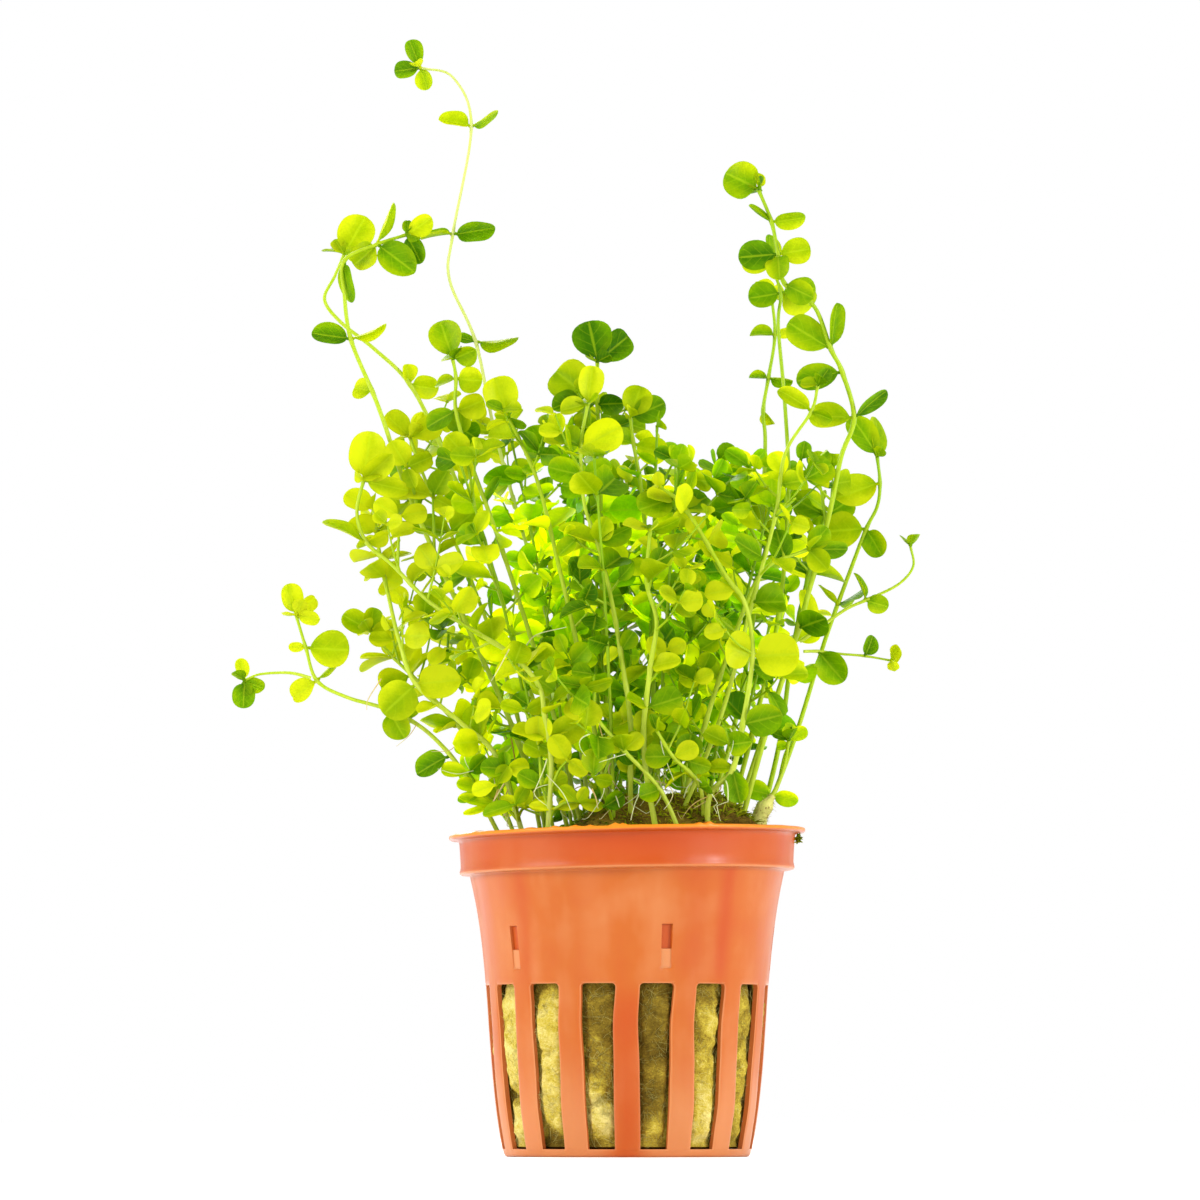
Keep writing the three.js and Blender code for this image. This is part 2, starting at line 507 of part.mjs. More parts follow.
// Whether a point comes within a clearance of a blade, taken as a flat oval
function nearBlade(point, leaf, clearance) {
  const margin = clearance * OVAL.margin;
  const offset = point.clone().sub(leaf.node).addScaledVector(leaf.axis, -leaf.length * OVAL.middle);
  const along = offset.dot(leaf.axis) / (leaf.length * OVAL.halfLength + margin);
  const side = new THREE.Vector3().crossVectors(leaf.face, leaf.axis);
  const across = offset.dot(side) / (leaf.width * OVAL.halfWidth + margin);
  return Math.abs(offset.dot(leaf.face)) < clearance && along * along + across * across < 1;
}

function bladesMeet(a, b) {
  const reach = (a.length + b.length) * PAIR_REACH;
  if (a.node.distanceTo(b.node) > reach) {
    return false;
  }
  return b.samples.some((point) => nearBlade(point, a, BLADE_CLEARANCE))
    || a.samples.some((point) => nearBlade(point, b, BLADE_CLEARANCE));
}

function makeShoot(name, radius, points, extra) {
  const curve = new StemCurve(points);
  const spans = points.length - 1;
  const trail = curve.getPoints(spans * TRAIL_STEPS);
  return { name, radius, curve, spans, trail, nodes: points, leaves: [], ...extra };
}

// The traced shoots with the leaves that were read off for them
function layOutTraced() {
  const shoots = TRACED.map((plan) => {
    const points = plan.route.map((place, i) => atDepth(place, i === 0 && !plan.branch));
    return makeShoot(plan.name, plan.radius, points, { plan });
  });
  for (const shoot of shoots) {
    for (const entry of shoot.plan.leaves) {
      settleLeaf(tracedLeaf(shoot.nodes[entry[0]], entry), shoot, shoots, true);
    }
  }
  return shoots;
}

// Ordinary shoots between the traced ones, each on the first route that has room
function addFill(shoots) {
  for (let k = 0; k < FILL.count; k += 1) {
    for (let attempt = 0; attempt < FILL.retry.most; attempt += 1) {
      const name = `inner_${String(k + 1).padStart(2, "0")}`;
      const shoot = makeShoot(name, FILL.stemRadius, fillRoute(k, attempt), { key: k + 100 });
      if (!shoots.some((other) => stemBlocked(shoot, other))) {
        shoots.push(shoot);
        break;
      }
    }
  }
}

function stemBlocked(shoot, other) {
  const room = shoot.radius + STEM_ROOM;
  return shoot.trail.some((point) => other.trail.some((place) => point.distanceTo(place) < STEM_CLEARANCE)
    || other.leaves.some((leaf) => nearBlade(point, leaf, room)));
}

function fillHeight(k, share, short) {
  if (short) {
    return FILL.short.height + FILL.short.wander * scatter(k, 5);
  }
  return FILL.tall.height - FILL.tall.droop * share * share + FILL.tall.wander * (scatter(k, 6) - 0.5);
}

// Route of an ordinary shoot: up from the plug, then leaning out towards its tip
function fillRoute(k, attempt) {
  const turn = (k + FILL.retry.turn * attempt) * GOLDEN_ANGLE;
  const share = Math.sqrt((k + 0.5) / FILL.count);
  const baseShare = Math.min(1, share + FILL.retry.shift * attempt * (scatter(k, attempt) - 0.5));
  const base = new THREE.Vector3(Math.cos(turn), Math.sin(turn), 0);
  base.multiplyScalar(baseShare * FILL.baseRadius);
  base.z = plugTop(base.x, base.y) - SOCKET.rootDepth;
  const short = k % FILL.short.every === FILL.short.every - 1;
  const reach = share * (short ? FILL.short.reach : FILL.tall.reach);
  const tip = new THREE.Vector3(
    FILL.centreX + Math.cos(turn) * reach * FILL.reachX,
    Math.sin(turn) * reach * FILL.reachY,
    fillHeight(k, share, short),
  );
  const bend = new THREE.Vector3(base.x, base.y, 0).multiplyScalar(FILL.bend.outward);
  bend.z = base.z + FILL.bend.upward * (tip.z - base.z);
  const arc = new THREE.QuadraticBezierCurve3(base, bend, tip);
  const count = Math.max(2, Math.round(arc.getLength() / FILL.spacing));
  return Array.from({ length: count + 1 }, (unused, i) => arc.getPoint(i / count));
}

// Ordinary pairs up a shoot: where the plan says, or all the way to the tip
function growPairs(shoots) {
  shoots.forEach((shoot, index) => {
    const last = shoot.nodes.length - 1;
    const first = Math.floor(last / 2) + 0.5;
    const places = shoot.plan
      ? shoot.plan.pairs.map((point) => point + 0.5)
      : Array.from({ length: Math.ceil(last - first) }, (unused, i) => first + i);
    const key = shoot.key || index + 1;
    const pairs = places.flatMap((place) => oppositePair(shoot, place, key, LEAF_LENGTH));
    if (!shoot.plan) {
      pairs.push(...oppositePair(shoot, last, key, LEAF_LENGTH * TIP_SHARE));
    }
    pairs.forEach((leaf) => settleLeaf(leaf, shoot, shoots, false));
  });
}

// Keeps a leaf if no stem but its own crosses it and no blade is too near. A traced leaf
// may touch leaves of its own shoot, and the two of a pair may touch each other.
function settleLeaf(leaf, owner, shoots, traced) {
  leaf.samples = bladeSamples(leaf);
  const stemInWay = (shoot) => shoot !== owner
    && shoot.trail.some((point) => nearBlade(point, leaf, shoot.radius + STEM_ROOM));
  const sibling = (shoot, other) => shoot === owner
    && (traced || other.node.distanceTo(leaf.node) < SAME_NODE);
  const bladeInWay = (shoot) => shoot.leaves.some(
    (other) => !sibling(shoot, other) && bladesMeet(leaf, other),
  );
  if (!shoots.some((shoot) => stemInWay(shoot) || bladeInWay(shoot))) {
    owner.leaves.push(leaf);
  }
}

// One blade: a thin five-cornered shell, flat below and peaked above, whose stalk end lies
// inside the stem. A margin makes it larger all round, to test for room.
function bladeSolid(leaf, margin = 0) {
  const corners = BLADE_OUTLINE.length;
  const geometry = new THREE.ConeGeometry(1, 1, corners);
  const position = geometry.attributes.position;
  const side = new THREE.Vector3().crossVectors(leaf.axis, leaf.face);
  const reach = leaf.length + BLADE.stalk + margin;
  const width = leaf.width + 2 * margin;
  for (let i = 0; i < position.count; i += 1) {
    const point = new THREE.Vector3().fromBufferAttribute(position, i);
    let [along, across] = [BLADE.peak, 0];
    if (Math.hypot(point.x, point.z) > 0.5) {
      const turn = Math.atan2(point.x, point.z) / (2 * Math.PI);
      [along, across] = BLADE_OUTLINE[(Math.round(turn * corners) + corners) % corners];
    }
    const lift = point.y > 0 ? BLADE.above + margin : -BLADE.below - margin;
    const place = leaf.node.clone()
      .addScaledVector(leaf.axis, along * reach - BLADE.stalk)
      .addScaledVector(side, across * width)
      .addScaledVector(leaf.face, lift);
    position.setXYZ(i, place.x, place.y, place.z);
  }
  return tidied(toSolid(geometry));
}

function stemParts(shoot) {
  const parts = [stemSolid(shoot.curve, shoot.radius, shoot.spans)];
  if (shoot.plan && shoot.plan.thickBase) {
    const foot = new StemCurve(shoot.nodes.slice(0, 3));
    parts.push(stemSolid(foot, shoot.plan.thickBase, 2));
  }
  return wasm.Manifold.union(parts);
}

// Stems first, then every blade that stays clear of the other shoots' stems and blades
function shootSolids(shoots) {
  const solids = shoots.map(stemParts);
  shoots.forEach((shoot, index) => {
    const others = solids.filter((unused, k) => k !== index);
    const blades = shoot.leaves.filter((leaf) => {
      const room = bladeSolid(leaf, GAP);
      return !others.some((other) => boxesMeet(other, room) && !other.intersect(room).isEmpty());
    });
    solids[index] = tidied(wasm.Manifold.union([solids[index], ...blades.map((leaf) => bladeSolid(leaf))]));
  });
  return solids;
}

function boxesMeet(a, b) {
  const [first, second] = [a.boundingBox(), b.boundingBox()];
  return [0, 1, 2].every((i) => first.min[i] <= second.max[i] && second.min[i] <= first.max[i]);
}

// The same solid with the cuts' surplus edges on flat faces taken out
function tidied(solid) {
  return solid.asOriginal().simplify(MERGE);
}

function socketCutter(shoot) {
  const [low, high] = shoot.nodes;
  const direction = high.clone().sub(low).normalize();
  const radius = Math.max(shoot.radius, (shoot.plan && shoot.plan.thickBase) || 0);
  const start = low.clone().addScaledVector(direction, -GAP);
  const end = low.clone().addScaledVector(direction, SOCKET.rootDepth + SOCKET.rise);
  return stemSolid(new THREE.LineCurve3(start, end), radius * SOCKET.swell + SOCKET.clearance, 1);
}

function buildMossScrap() {
  const geometry = new THREE.SphereGeometry(1, ...MOSS.facets);
  geometry.scale(...MOSS.halves);
  geometry.translate(...MOSS.middle);
  return toSolid(geometry);
}

function named(name, solid, material) {
  const mesh = new THREE.Mesh(toGeometry(solid), material);
  mesh.name = name;
  return mesh;
}

const plant = new THREE.Group();
plant.name = "potted_giant_baby_tears";
const shoots = layOutTraced();
addFill(shoots);
growPairs(shoots);
let plug = buildPlug();
for (const shoot of shoots) {
  if (!shoot.plan || !shoot.plan.branch) {
    plug = plug.subtract(socketCutter(shoot));
  }
}
plant.add(named("net_pot", buildPot(), materials.pot));
plant.add(named("wool_plug", tidied(plug), materials.wool));
plant.add(named("moss_scrap", buildMossScrap(), materials.moss));
shootSolids(shoots).forEach((solid, index) => {
  plant.add(named(`shoot_${shoots[index].name}`, solid, index % 3 ? materials.leaf : materials.lime));
});

export default plant;
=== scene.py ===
"""Finished surfaces of a giant baby tears in a small slotted pot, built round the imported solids.

Lengths are in millimetres, in the frame of the solids, and become metres when a mesh is written.
Azimuths are in degrees from the pot's front (-Y), positive towards its right side (+X).
"""

import logging
import math
from dataclasses import dataclass, field
from enum import Enum

import bpy
import numpy as np
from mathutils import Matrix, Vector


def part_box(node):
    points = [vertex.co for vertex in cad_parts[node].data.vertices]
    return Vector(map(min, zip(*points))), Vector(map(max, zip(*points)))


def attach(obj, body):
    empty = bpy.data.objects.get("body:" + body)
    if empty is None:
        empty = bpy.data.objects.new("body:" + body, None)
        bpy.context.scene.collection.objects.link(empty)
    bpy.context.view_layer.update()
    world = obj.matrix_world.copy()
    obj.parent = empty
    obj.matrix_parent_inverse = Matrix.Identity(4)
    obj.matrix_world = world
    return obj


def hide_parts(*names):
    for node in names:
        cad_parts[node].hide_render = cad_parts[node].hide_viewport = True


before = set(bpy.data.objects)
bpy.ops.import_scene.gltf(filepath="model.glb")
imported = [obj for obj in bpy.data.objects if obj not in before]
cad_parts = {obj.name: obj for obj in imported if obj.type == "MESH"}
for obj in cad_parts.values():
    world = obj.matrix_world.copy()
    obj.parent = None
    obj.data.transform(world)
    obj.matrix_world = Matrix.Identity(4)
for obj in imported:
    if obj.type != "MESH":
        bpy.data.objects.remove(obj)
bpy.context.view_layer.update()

log = logging.getLogger("giant_baby_tears")

Array = np.ndarray
Socket = bpy.types.NodeSocket
Colour = tuple[float, float, float]

MM = 0.001
BODY = "root"
SOFT_EDGE = math.radians(55)
SEED = 20
VIEW_DISTANCE = 1100.0
UP = np.array([0.0, 0.0, 1.0])


def smooth(edge0: float, edge1: float, value: Array) -> Array:
    """Smooth step from 0 at edge0 to 1 at edge1: t squared times (3 - 2t)."""
    t = np.clip((value - edge0) / (edge1 - edge0), 0, 1)
    return t * t * (3 - 2 * t)


def scatter(a: float | Array, b: float | Array) -> float | Array:
    """Repeatable value from 0 to 1 for a pair of keys: the fraction of a large sine."""
    wave = np.sin(a * 12.9898 + b * 78.233) * 43758.5453
    return wave - np.floor(wave)


def value_noise(points: Array, size: float, seed: float) -> Array:
    """Smooth noise from -1 to 1: random values on a cubic lattice, blended by a smooth step.

    Args:
        points: Places to read the noise at, one a row.
        size: Edge of a lattice cell.
        seed: Number that picks the lattice's values.

    Returns:
        One value for each place.
    """
    scaled = points / size
    low = np.floor(scaled)
    part = scaled - low
    blend = part * part * (3 - 2 * part)
    total = np.zeros(len(points))
    for corner in np.ndindex(2, 2, 2):
        step = np.array(corner)
        weight = np.prod(np.where(step == 1, blend, 1 - blend), axis=1)
        cell = low + step
        total += weight * scatter(cell[:, 0] + 57.0 * cell[:, 1] + seed, cell[:, 2] - 13.7 * seed)
    return 2 * total - 1


def fractal(points: Array, size: float, seed: float, octaves: int = 3) -> Array:
    """Sum of noises from about -1 to 1, each of half the cell size and height of the one before."""
    layers = [value_noise(points, size / 2**k, seed + 7.3 * k) / 2**k for k in range(octaves)]
    return sum(layers) / 1.5


def unit(vectors: Array) -> Array:
    """Vectors of length one in the same directions."""
    return vectors / np.linalg.norm(vectors, axis=-1, keepdims=True)


def turned(vector: Array, axis: Array, angle: float) -> Array:
    """A vector turned about a unit axis: the sum of its cosine, sine and along-axis parts."""
    along = axis * np.dot(axis, vector) * (1 - math.cos(angle))
    return vector * math.cos(angle) + np.cross(axis, vector) * math.sin(angle) + along


def joined(*parts: Array | float) -> Array:
    """Values set side by side along a new last axis, each spread to the shape of the largest."""
    return np.stack(np.broadcast_arrays(*parts), axis=-1)


def on_circle(radius: Array, angle: Array, height: Array | float) -> Array:
    """Points at a radius from the pot's axis, at an angle in radians from its front."""
    return joined(radius * np.sin(angle), -radius * np.cos(angle), height)


def wrapped(angle: Array, turn: float) -> Array:
    """Angles carried by whole turns to within half a turn of zero."""
    return (angle + turn / 2) % turn - turn / 2


def quadratic(start: Array, bend: Array, end: Array, t: Array) -> Array:
    """Points of the curve that leaves start towards bend and comes to end from it."""
    return start * (1 - t) ** 2 + 2 * bend * t * (1 - t) + end * t * t


@dataclass
class Skin:
    """Surfaces that are gathered into one mesh, with two pairs of values on every face corner.

    Attributes:
        points: Blocks of points.
        corners: Point numbers of every face, end to end.
        counts: Corner count of every face.
        shape: Place of every corner on its own surface.
        tint: Tone and other values of every corner.
        finishes: Number of every face's finish.
        size: How many points there are.
    """

    points: list[Array] = field(default_factory=list)
    corners: list[Array] = field(default_factory=list)
    counts: list[Array] = field(default_factory=list)
    shape: list[Array] = field(default_factory=list)
    tint: list[Array] = field(default_factory=list)
    finishes: list[Array] = field(default_factory=list)
    size: int = 0

    def place(self, points: Array) -> int:
        """Adds points.

        Args:
            points: Points in an array of any shape whose last axis is X, Y, Z.

        Returns:
            Number of the first of them.
        """
        start = self.size
        flat = points.reshape(-1, 3)
        self.points.append(flat)
        self.size += len(flat)
        return start

    def cover(self, faces: Array, shape: Array, tint: Array, finish: int = 0) -> None:
        """Adds faces between points that are placed already.

        Args:
            faces: Point numbers, one face a row.
            shape: Two values for each corner.
            tint: Two values for each corner.
            finish: Number of the finish.
        """
        wanted = faces.shape + (2,)
        self.corners.append(faces.ravel())
        self.counts.append(np.full(faces.shape[0], faces.shape[1]))
        self.shape.append(np.broadcast_to(shape, wanted).reshape(-1, 2))
        self.tint.append(np.broadcast_to(tint, wanted).reshape(-1, 2))
        self.finishes.append(np.full(faces.shape[0], finish))

    def build(self, name: str, materials: list[bpy.types.Material]) -> bpy.types.Object:
        """Writes the mesh and its object at the origin.

        Args:
            name: Name of the piece.
            materials: The finishes, by number.

        Returns:
            The piece.
        """
        mesh = bpy.data.meshes.new(name)
        points = np.concatenate(self.points) * MM
        corners = np.concatenate(self.corners).astype(np.int32)
        counts = np.concatenate(self.counts)
        starts = np.concatenate([[0], np.cumsum(counts)[:-1]]).astype(np.int32)
        mesh.vertices.add(len(points))
        mesh.vertices.foreach_set("co", points.astype(np.float32).ravel())
        mesh.loops.add(len(corners))
        mesh.loops.foreach_set("vertex_index", corners)
        mesh.polygons.add(len(counts))
        mesh.polygons.foreach_set("loop_start", starts)
        mesh.polygons.foreach_set("material_index", np.concatenate(self.finishes).astype(np.int32))
        mesh.polygons.foreach_set("use_smooth", np.ones(len(counts), dtype=bool))
        mesh.update(calc_edges=True)
        for layer, blocks in (("shape", self.shape), ("tint", self.tint)):
            values = np.concatenate(blocks).astype(np.float32)
            mesh.uv_layers.new(name=layer).data.foreach_set("uv", values.ravel())
        mesh.set_sharp_from_angle(angle=SOFT_EDGE)
        for material in materials:
            mesh.materials.append(material)
        piece = bpy.data.objects.new(name, mesh)
        bpy.context.scene.collection.objects.link(piece)
        return piece


def ring_faces(stations: int, sides: int) -> Array:
    """Faces of a loft: each joins two neighbours of one ring to the same two of the next ring.

    Args:
        stations: How many rings there are.
        sides: How many points a ring has.

    Returns:
        Point numbers, four a row, with ring points running anticlockwise about the way forward.
    """
    ring, side = np.meshgrid(np.arange(stations - 1), np.arange(sides), indexing="ij")
    beside = (side + 1) % sides
    here, above = ring * sides, (ring + 1) * sides
    return joined(here + side, here + beside, above + beside, above + side).reshape(-1, 4)


def tube_points(path: Array, radii: Array, sides: int) -> Array:
    """Rings round a path: each point is the path's point plus a radius along a turning normal.

    Args:
        path: Points of the path, in one or more batches: (..., stations, 3).
        radii: Radius at each of them.
        sides: How many points a ring has.

    Returns:
        Points of every ring: (..., stations, sides, 3).
    """
    ahead = unit(np.gradient(path, axis=-2))
    across = unit(np.cross(np.array([0.02, 1.0, 0.03]), ahead))
    upright = np.cross(ahead, across)
    angles = (np.arange(sides) * 2 * math.pi / sides)[:, None]
    wheel = across[..., None, :] * np.cos(angles) + upright[..., None, :] * np.sin(angles)
    return path[..., None, :] + radii[..., None, None] * wheel


def add_tubes(skin: Skin, rings: Array, tone: Array, finish: int = 0) -> None:
    """Adds tubes with closed ends.

    Args:
        skin: Where they go.
        rings: Points of the tubes: (tubes, stations, sides, 3).
        tone: Tone at every station of every tube, or one for each tube: (tubes, stations or 1).
        finish: Number of the finish.
    """
    count, stations, sides, _ = rings.shape
    start = skin.place(rings)
    shifts = start + np.arange(count)[:, None, None] * stations * sides
    tint = joined(np.broadcast_to(tone, (count, stations)), 0.0)
    faces = ring_faces(stations, sides)
    ring, side = np.divmod(faces, sides)
    shape = np.tile(joined(side / sides, ring / (stations - 1)), (count, 1, 1))
    skin.cover((faces + shifts).reshape(-1, 4), shape, tint[:, ring].reshape(-1, 4, 2), finish)
    ends = np.array([np.arange(sides)[::-1], (stations - 1) * sides + np.arange(sides)])
    levels = np.tile([[0.5, 0.0], [0.5, 1.0]], (count, 1))[:, None, :]
    skin.cover((ends + shifts).reshape(-1, sides), levels, tint[:, [0, -1]].reshape(-1, 1, 2), finish)


def curve_points(nodes: Array, steps: int) -> Array:
    """Smooth curve through every node: the uniform Catmull-Rom cubic, with its ends carried on.

    Args:
        nodes: Nodes of the curve.
        steps: Steps between two nodes.

    Returns:
        Points of the curve, at even parameter steps.
    """
    first = 2 * nodes[0] - nodes[1]
    last = 2 * nodes[-1] - nodes[-2]
    full = np.vstack([first, nodes, last])
    place = np.arange((len(nodes) - 1) * steps + 1) / steps
    span = np.minimum(place.astype(int), len(nodes) - 2)
    t = (place - span)[:, None]
    before, low, high, after = (full[span + k] for k in range(4))
    start, end = 0.5 * (high - before), 0.5 * (after - low)
    cubic = 2 * low - 2 * high + start + end
    square = -3 * low + 3 * high - 2 * start - end
    return low + start * t + square * t**2 + cubic * t**3


# Finishes

class NodeGraph:
    """A material's nodes, with short ways to add and link them."""

    def __init__(self, name: str) -> None:
        """Starts an empty material.

        Args:
            name: Name of the material.
        """
        self.material = bpy.data.materials.new(name)
        self.material.use_nodes = True
        self.nodes = self.material.node_tree.nodes
        self.links = self.material.node_tree.links
        self.nodes.clear()
        self.output = self.nodes.new("ShaderNodeOutputMaterial")

    def feed(self, socket: Socket, value: Socket | float | tuple) -> None:
        """Links a socket to another one, or sets its value.

        Args:
            socket: The input.
            value: An output socket, or a number, colour or vector.
        """
        if isinstance(value, bpy.types.NodeSocket):
            self.links.new(value, socket)
        elif isinstance(value, tuple) and socket.type == "RGBA":
            socket.default_value = (*value, 1.0)
        else:
            socket.default_value = value

    def place(self, scale: tuple[float, float, float] = (1, 1, 1)) -> Socket:
        """Object coordinates, stretched by a scale along each axis.

        Args:
            scale: Factors along X, Y and Z.

        Returns:
            The vector.
        """
        source = self.nodes.new("ShaderNodeTexCoord").outputs["Object"]
        mapping = self.nodes.new("ShaderNodeMapping")
        mapping.inputs["Scale"].default_value = scale
        self.links.new(source, mapping.inputs["Vector"])
        return mapping.outputs["Vector"]

    def layer(self, name: str) -> tuple[Socket, Socket]:
        """The two values of one of the mesh's corner layers.

        Args:
            name: Name of the layer.

        Returns:
            First and second value.
        """
        source = self.nodes.new("ShaderNodeUVMap")
        source.uv_map = name
        split = self.nodes.new("ShaderNodeSeparateXYZ")
        self.links.new(source.outputs["UV"], split.inputs["Vector"])
        return split.outputs["X"], split.outputs["Y"]

    def noise(self, vector: Socket, size: float, detail: float = 2.0, twist: float = 0.0) -> Socket:
        """Noise from 0 to 1 whose largest features have a given size.

        Args:
            vector: Coordinates in metres.
            size: Size of the features in millimetres.
            detail: How many finer noises are added.
            twist: Distortion.

        Returns:
            The noise's value.
        """
        node = self.nodes.new("ShaderNodeTexNoise")
        self.links.new(vector, node.inputs["Vector"])
        node.inputs["Scale"].default_value = 1 / (size * MM)
        node.inputs["Detail"].default_value = detail
        node.inputs["Distortion"].default_value = twist
        return node.outputs["Fac"]

    def math(self, operation: str, first: Socket | float, second: Socket | float = 0.0) -> Socket:
        """One arithmetic step.

        Args:
            operation: Name of the operation.
            first: First value.
            second: Second value.

        Returns:
            The result.
        """
        node = self.nodes.new("ShaderNodeMath")
        node.operation = operation
        self.feed(node.inputs[0], first)
        self.feed(node.inputs[1], second)
        return node.outputs["Value"]

    def add(self, *values: Socket | float) -> Socket:
        """Values added up.

        Args:
            values: The values.

        Returns:
            Their sum.
        """
        total, *others = values
        for value in others:
            total = self.math("ADD", total, value)
        return total

    def times(self, first: Socket | float, second: Socket | float) -> Socket:
        """The product of two values."""
        return self.math("MULTIPLY", first, second)

    def off_middle(self, value: Socket, gain: float) -> Socket:
        """How far a value from 0 to 1 is above a half, times a gain."""
        return self.times(self.math("SUBTRACT", value, 0.5), gain)

    def span(self, value: Socket, low: float, high: float, start: float = 0.0,
             end: float = 1.0) -> Socket:
        """A value's range carried smoothly over to another range.

        Args:
            value: The value.
            low: Value that gives start.
            high: Value that gives end.
            start: Result at low.
            end: Result at high.

        Returns:
            The result, held between start and end.
        """
        node = self.nodes.new("ShaderNodeMapRange")
        node.interpolation_type = "SMOOTHSTEP"
        self.feed(node.inputs["Value"], value)
        node.inputs["From Min"].default_value = low
        node.inputs["From Max"].default_value = high
        node.inputs["To Min"].default_value = start
        node.inputs["To Max"].default_value = end
        return node.outputs["Result"]

    def ramp(self, factor: Socket, stops: list[tuple[float, Colour]]) -> Socket:
        """Colours blended between stops.

        Args:
            factor: Place on the ramp.
            stops: Places from 0 to 1, each with its colour.

        Returns:
            The colour.
        """
        node = self.nodes.new("ShaderNodeValToRGB")
        elements = node.color_ramp.elements
        while len(elements) < len(stops):
            elements.new(0.5)
        for element, (position, colour) in zip(elements, stops):
            element.position = position
            element.color = (*colour, 1.0)
        self.feed(node.inputs["Fac"], factor)
        return node.outputs["Color"]

    def mix(self, factor: Socket | float, first: Socket | Colour, second: Socket | Colour,
            blend: str = "MIX") -> Socket:
        """Two colours mixed.

        Args:
            factor: Share of the second colour.
            first: First colour.
            second: Second colour.
            blend: How the second goes over the first.

        Returns:
            The colour.
        """
        node = self.nodes.new("ShaderNodeMix")
        node.data_type = "RGBA"
        node.blend_type = blend
        self.feed(node.inputs[0], factor)
        self.feed(node.inputs[6], first)
        self.feed(node.inputs[7], second)
        return node.outputs[2]

    def bump(self, height: Socket, strength: float, depth: float) -> Socket:
        """Normal of a surface with small relief.

        Args:
            height: Height from 0 to 1.
            strength: How much of the relief shows.
            depth: Height of the relief in millimetres.

        Returns:
            The normal.
        """
        node = self.nodes.new("ShaderNodeBump")
        node.inputs["Strength"].default_value = strength
        node.inputs["Distance"].default_value = depth * MM
        self.feed(node.inputs["Height"], height)
        return node.outputs["Normal"]

    def surface(self, colour: Socket | Colour, roughness: Socket | float, normal: Socket | None = None,
                **constants: float) -> bpy.types.Node:
        """The surface's main shader.

        Args:
            colour: Base colour.
            roughness: Roughness.
            normal: Normal of the relief.
            constants: Values of other sockets, by the socket's name with underscores for spaces.

        Returns:
            The shader node.
        """
        node = self.nodes.new("ShaderNodeBsdfPrincipled")
        self.feed(node.inputs["Base Color"], colour)
        self.feed(node.inputs["Roughness"], roughness)
        if normal is not None:
            self.feed(node.inputs["Normal"], normal)
        for name, value in constants.items():
            node.inputs[name.replace("_", " ")].default_value = value
        self.links.new(node.outputs[0], self.output.inputs["Surface"])
        return node

    def let_light_through(self, shader: bpy.types.Node, colour: Socket, share: float) -> None:
        """Mixes the surface with light that comes through from behind.

        Args:
            shader: The surface's main shader.
            colour: Colour of the light that comes through.
            share: Share of that light.
        """
        through = self.nodes.new("ShaderNodeBsdfTranslucent")
        self.feed(through.inputs["Color"], colour)
        both = self.nodes.new("ShaderNodeMixShader")
        both.inputs[0].default_value = share
        self.links.new(shader.outputs[0], both.inputs[1])
        self.links.new(through.outputs[0], both.inputs[2])
        self.links.new(both.outputs[0], self.output.inputs["Surface"])


@dataclass(frozen=True)
class PotPlastic:
    """Thin moulded plastic in terracotta orange: cloudy, streaked and grained, with a painted glow on the
    rim's top edge.
    """

    deep: Colour = (0.400, 0.048, 0.001)
    mid: Colour = (0.432, 0.098, 0.008)
    pale: Colour = (0.540, 0.215, 0.080)
    painted_rim_glow: Colour = (0.640, 0.190, 0.004)
    roughness: float = 0.34

    def material(self) -> bpy.types.Material:
        """Builds the material.

        Returns:
            The material.
        """
        graph = NodeGraph("pot_plastic")
        cloud = graph.noise(graph.place(), 9, 3)
        streak = graph.noise(graph.place((1, 1, 0.2)), 4, 2)
        tone = graph.add(graph.times(cloud, 0.42), graph.times(streak, 0.3))
        colour = graph.ramp(tone, [(0.05, self.deep), (0.36, self.mid), (0.7, self.pale)])
        edge, depth = graph.layer("tint")
        # The shape layer's first value is the painted glow: the rim's top edge is painted bright orange,
        # painted light that stands for light shining through the plastic.
        painted_rim_glow, _ = graph.layer("shape")
        # Pale share: painted highlights and painted sheen, plus the pale lower ends of the ribs; deep
        # share: painted shade and painted dark reflections.
        colour = graph.mix(graph.times(edge, 0.8), colour, self.pale)
        colour = graph.mix(depth, colour, self.deep)
        colour = graph.mix(painted_rim_glow, colour, self.painted_rim_glow)
        grain = graph.noise(graph.place(), 0.5, 2)
        gloss = graph.span(streak, 0.3, 0.7, self.roughness - 0.06, self.roughness + 0.1)
        normal = graph.bump(grain, 0.25, 0.03)
        shader = graph.surface(colour, gloss, normal, Subsurface_Weight=0.12, Subsurface_Scale=0.001,
                               Specular_IOR_Level=0.26)
        shader.inputs["Subsurface Radius"].default_value = (1.0, 0.35, 0.1)
        return graph.material


